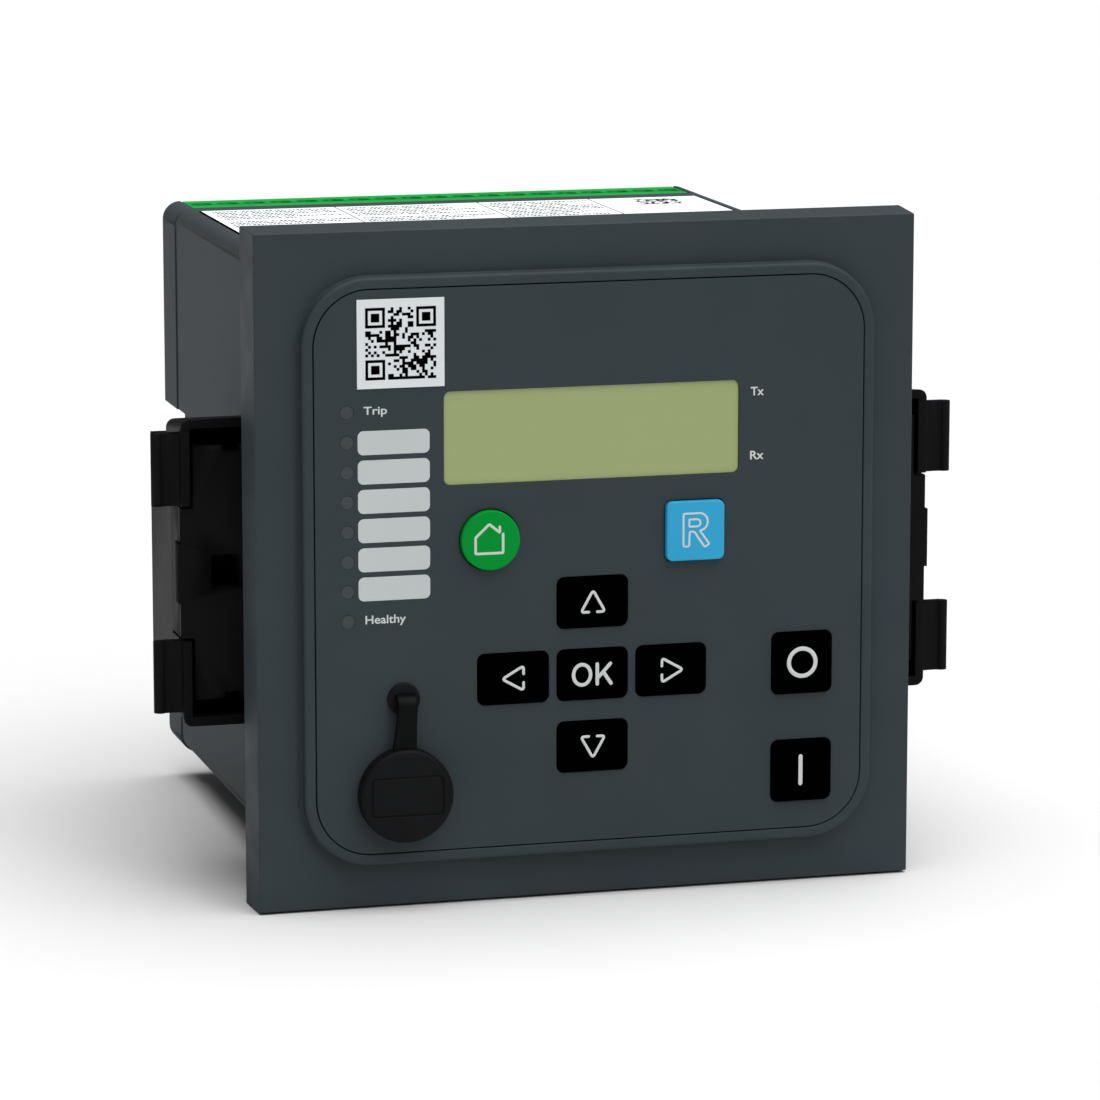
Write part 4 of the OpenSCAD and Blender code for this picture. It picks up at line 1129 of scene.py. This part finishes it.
@dataclass
class Workshop:
    """Gives every CAD node that stays in view its own finish."""

    finishes: dict[str, Finish] = field(default_factory=lambda: {
        "display_window": LCD, "display_glass": DISPLAY_BACK, "display_frame": FRAME_BLACK,
        "light_guides": GUIDE, "status_leds": LED, "square_label": SQUARE_PAPER, "rating_label": PAPER,
        "home_key": KEY_GREEN, "reset_key": KEY_BLUE, "up_key": KEY_BLACK, "down_key": KEY_BLACK,
        "left_key": KEY_BLACK, "right_key": KEY_BLACK, "ok_key": KEY_BLACK, "open_key": KEY_BLACK,
        "close_key": KEY_BLACK, "keypad_mat": MAT, "front_board": BOARD, "front_board_screws": STEEL,
        "service_socket": STEEL, "case_screws": STEEL, "cover_screws": STEEL,
        "upper_terminal_screws": STEEL, "upper_terminal_cages": BRASS, "lower_terminal_screws": STEEL,
        "earth_screw": STEEL, "output_board": BOARD, "output_relays": RELAY_BLUE, "supply_board": BOARD,
        "current_transformers": BLACK_BLOCK, "supply_transformer": WINDING, "supply_capacitors": SLEEVE,
        "board_links": LINK,
    })

    def build(self) -> None:
        """Assigns the finishes."""
        for name, finish in self.finishes.items():
            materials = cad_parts[name].data.materials
            materials.clear()
            materials.append(finish.material())
            log.info("%s wears %s", name, finish.name)


@dataclass
class Studio:
    """Pale floor, soft lights and the camera at the photograph's angle."""

    camera_place: Place = (-308.37, -1108.83, 211.51)
    azimuth: float = 15.2666
    elevation: float = 10.3897
    lens: float = 169.42
    sensor: float = 36.0
    floor_size: float = 14.0
    floor_tone: float = 0.67
    floor_change: float = 0.02
    floor_cloud: float = 120
    floor_roughness: float = 0.9
    floor_specular: float = 0.1
    sky: float = 0.1
    suns: tuple[tuple[str, Place, float, float], ...] = (
        ("top_light", (0.12, -0.1, 1.0), 4.4, 75.0),
        ("front_light", (0.5, -1.0, 0.6), 0.45, 24.0),
    )

    def floor(self) -> None:
        """Lays the floor under the bezel's lower edge."""
        low, _ = CAD_BOX
        Bench.clear()
        bpy.ops.mesh.primitive_plane_add(size=self.floor_size, location=(0, 0, low.z))
        ground = bpy.context.object
        ground.name = "studio_floor"
        sheet = NodeSheet("floor_paper")
        dark, pale = self.floor_tone, self.floor_tone + self.floor_change
        cloud = sheet.spread(sheet.noise(sheet.coordinates((1, 1, 1)), self.floor_cloud, 2), 0, 1)
        sheet.link(sheet.mix(cloud, (dark, dark, dark, 1), (pale, pale, pale, 1)),
                   sheet.shader.inputs["Base Color"])
        sheet.shader.inputs["Roughness"].default_value = self.floor_roughness
        sheet.shader.inputs["Specular IOR Level"].default_value = self.floor_specular
        ground.data.materials.append(sheet.material)

    def light(self) -> None:
        """Hangs the soft lights and sets the room's own light."""
        for name, place, strength, spread in self.suns:
            data = bpy.data.lights.new(name, "SUN")
            data.energy = strength
            data.angle = math.radians(spread)
            lamp = bpy.data.objects.new(name, data)
            bpy.context.scene.collection.objects.link(lamp)
            lamp.rotation_euler = (-Vector(place)).to_track_quat("-Z", "Y").to_euler()
        world = bpy.data.worlds.new("pale_room")
        bpy.context.scene.world = world
        world.use_nodes = True
        back = world.node_tree.nodes["Background"].inputs
        back["Color"].default_value = (1, 1, 1, 1)
        back["Strength"].default_value = self.sky

    def camera(self) -> None:
        """Stands the camera where the photograph was taken from."""
        data = bpy.data.cameras.new("photo_camera")
        data.lens = self.lens
        data.sensor_width = self.sensor
        data.clip_end = 50
        seat = bpy.data.objects.new("photo_camera", data)
        bpy.context.scene.collection.objects.link(seat)
        seat.location = Vector(self.camera_place) * MM
        seat.rotation_euler = (math.radians(90 - self.elevation), 0, math.radians(-self.azimuth))
        bpy.context.scene.camera = seat

    def build(self) -> None:
        """Sets the whole studio up."""
        self.floor()
        self.light()
        self.camera()
        view = bpy.context.scene.view_settings
        view.view_transform = "Standard"
        view.look = "None"


def main() -> None:
    """Builds the studio and every sub-assembly in order."""
    logging.basicConfig(level=logging.INFO, format="%(name)s: %(message)s")
    for part in (Studio(), Workshop(), FrontPanel(), Keypad(), ServicePort(), Housing()):
        part.build()


if __name__ == "__main__":
    main()
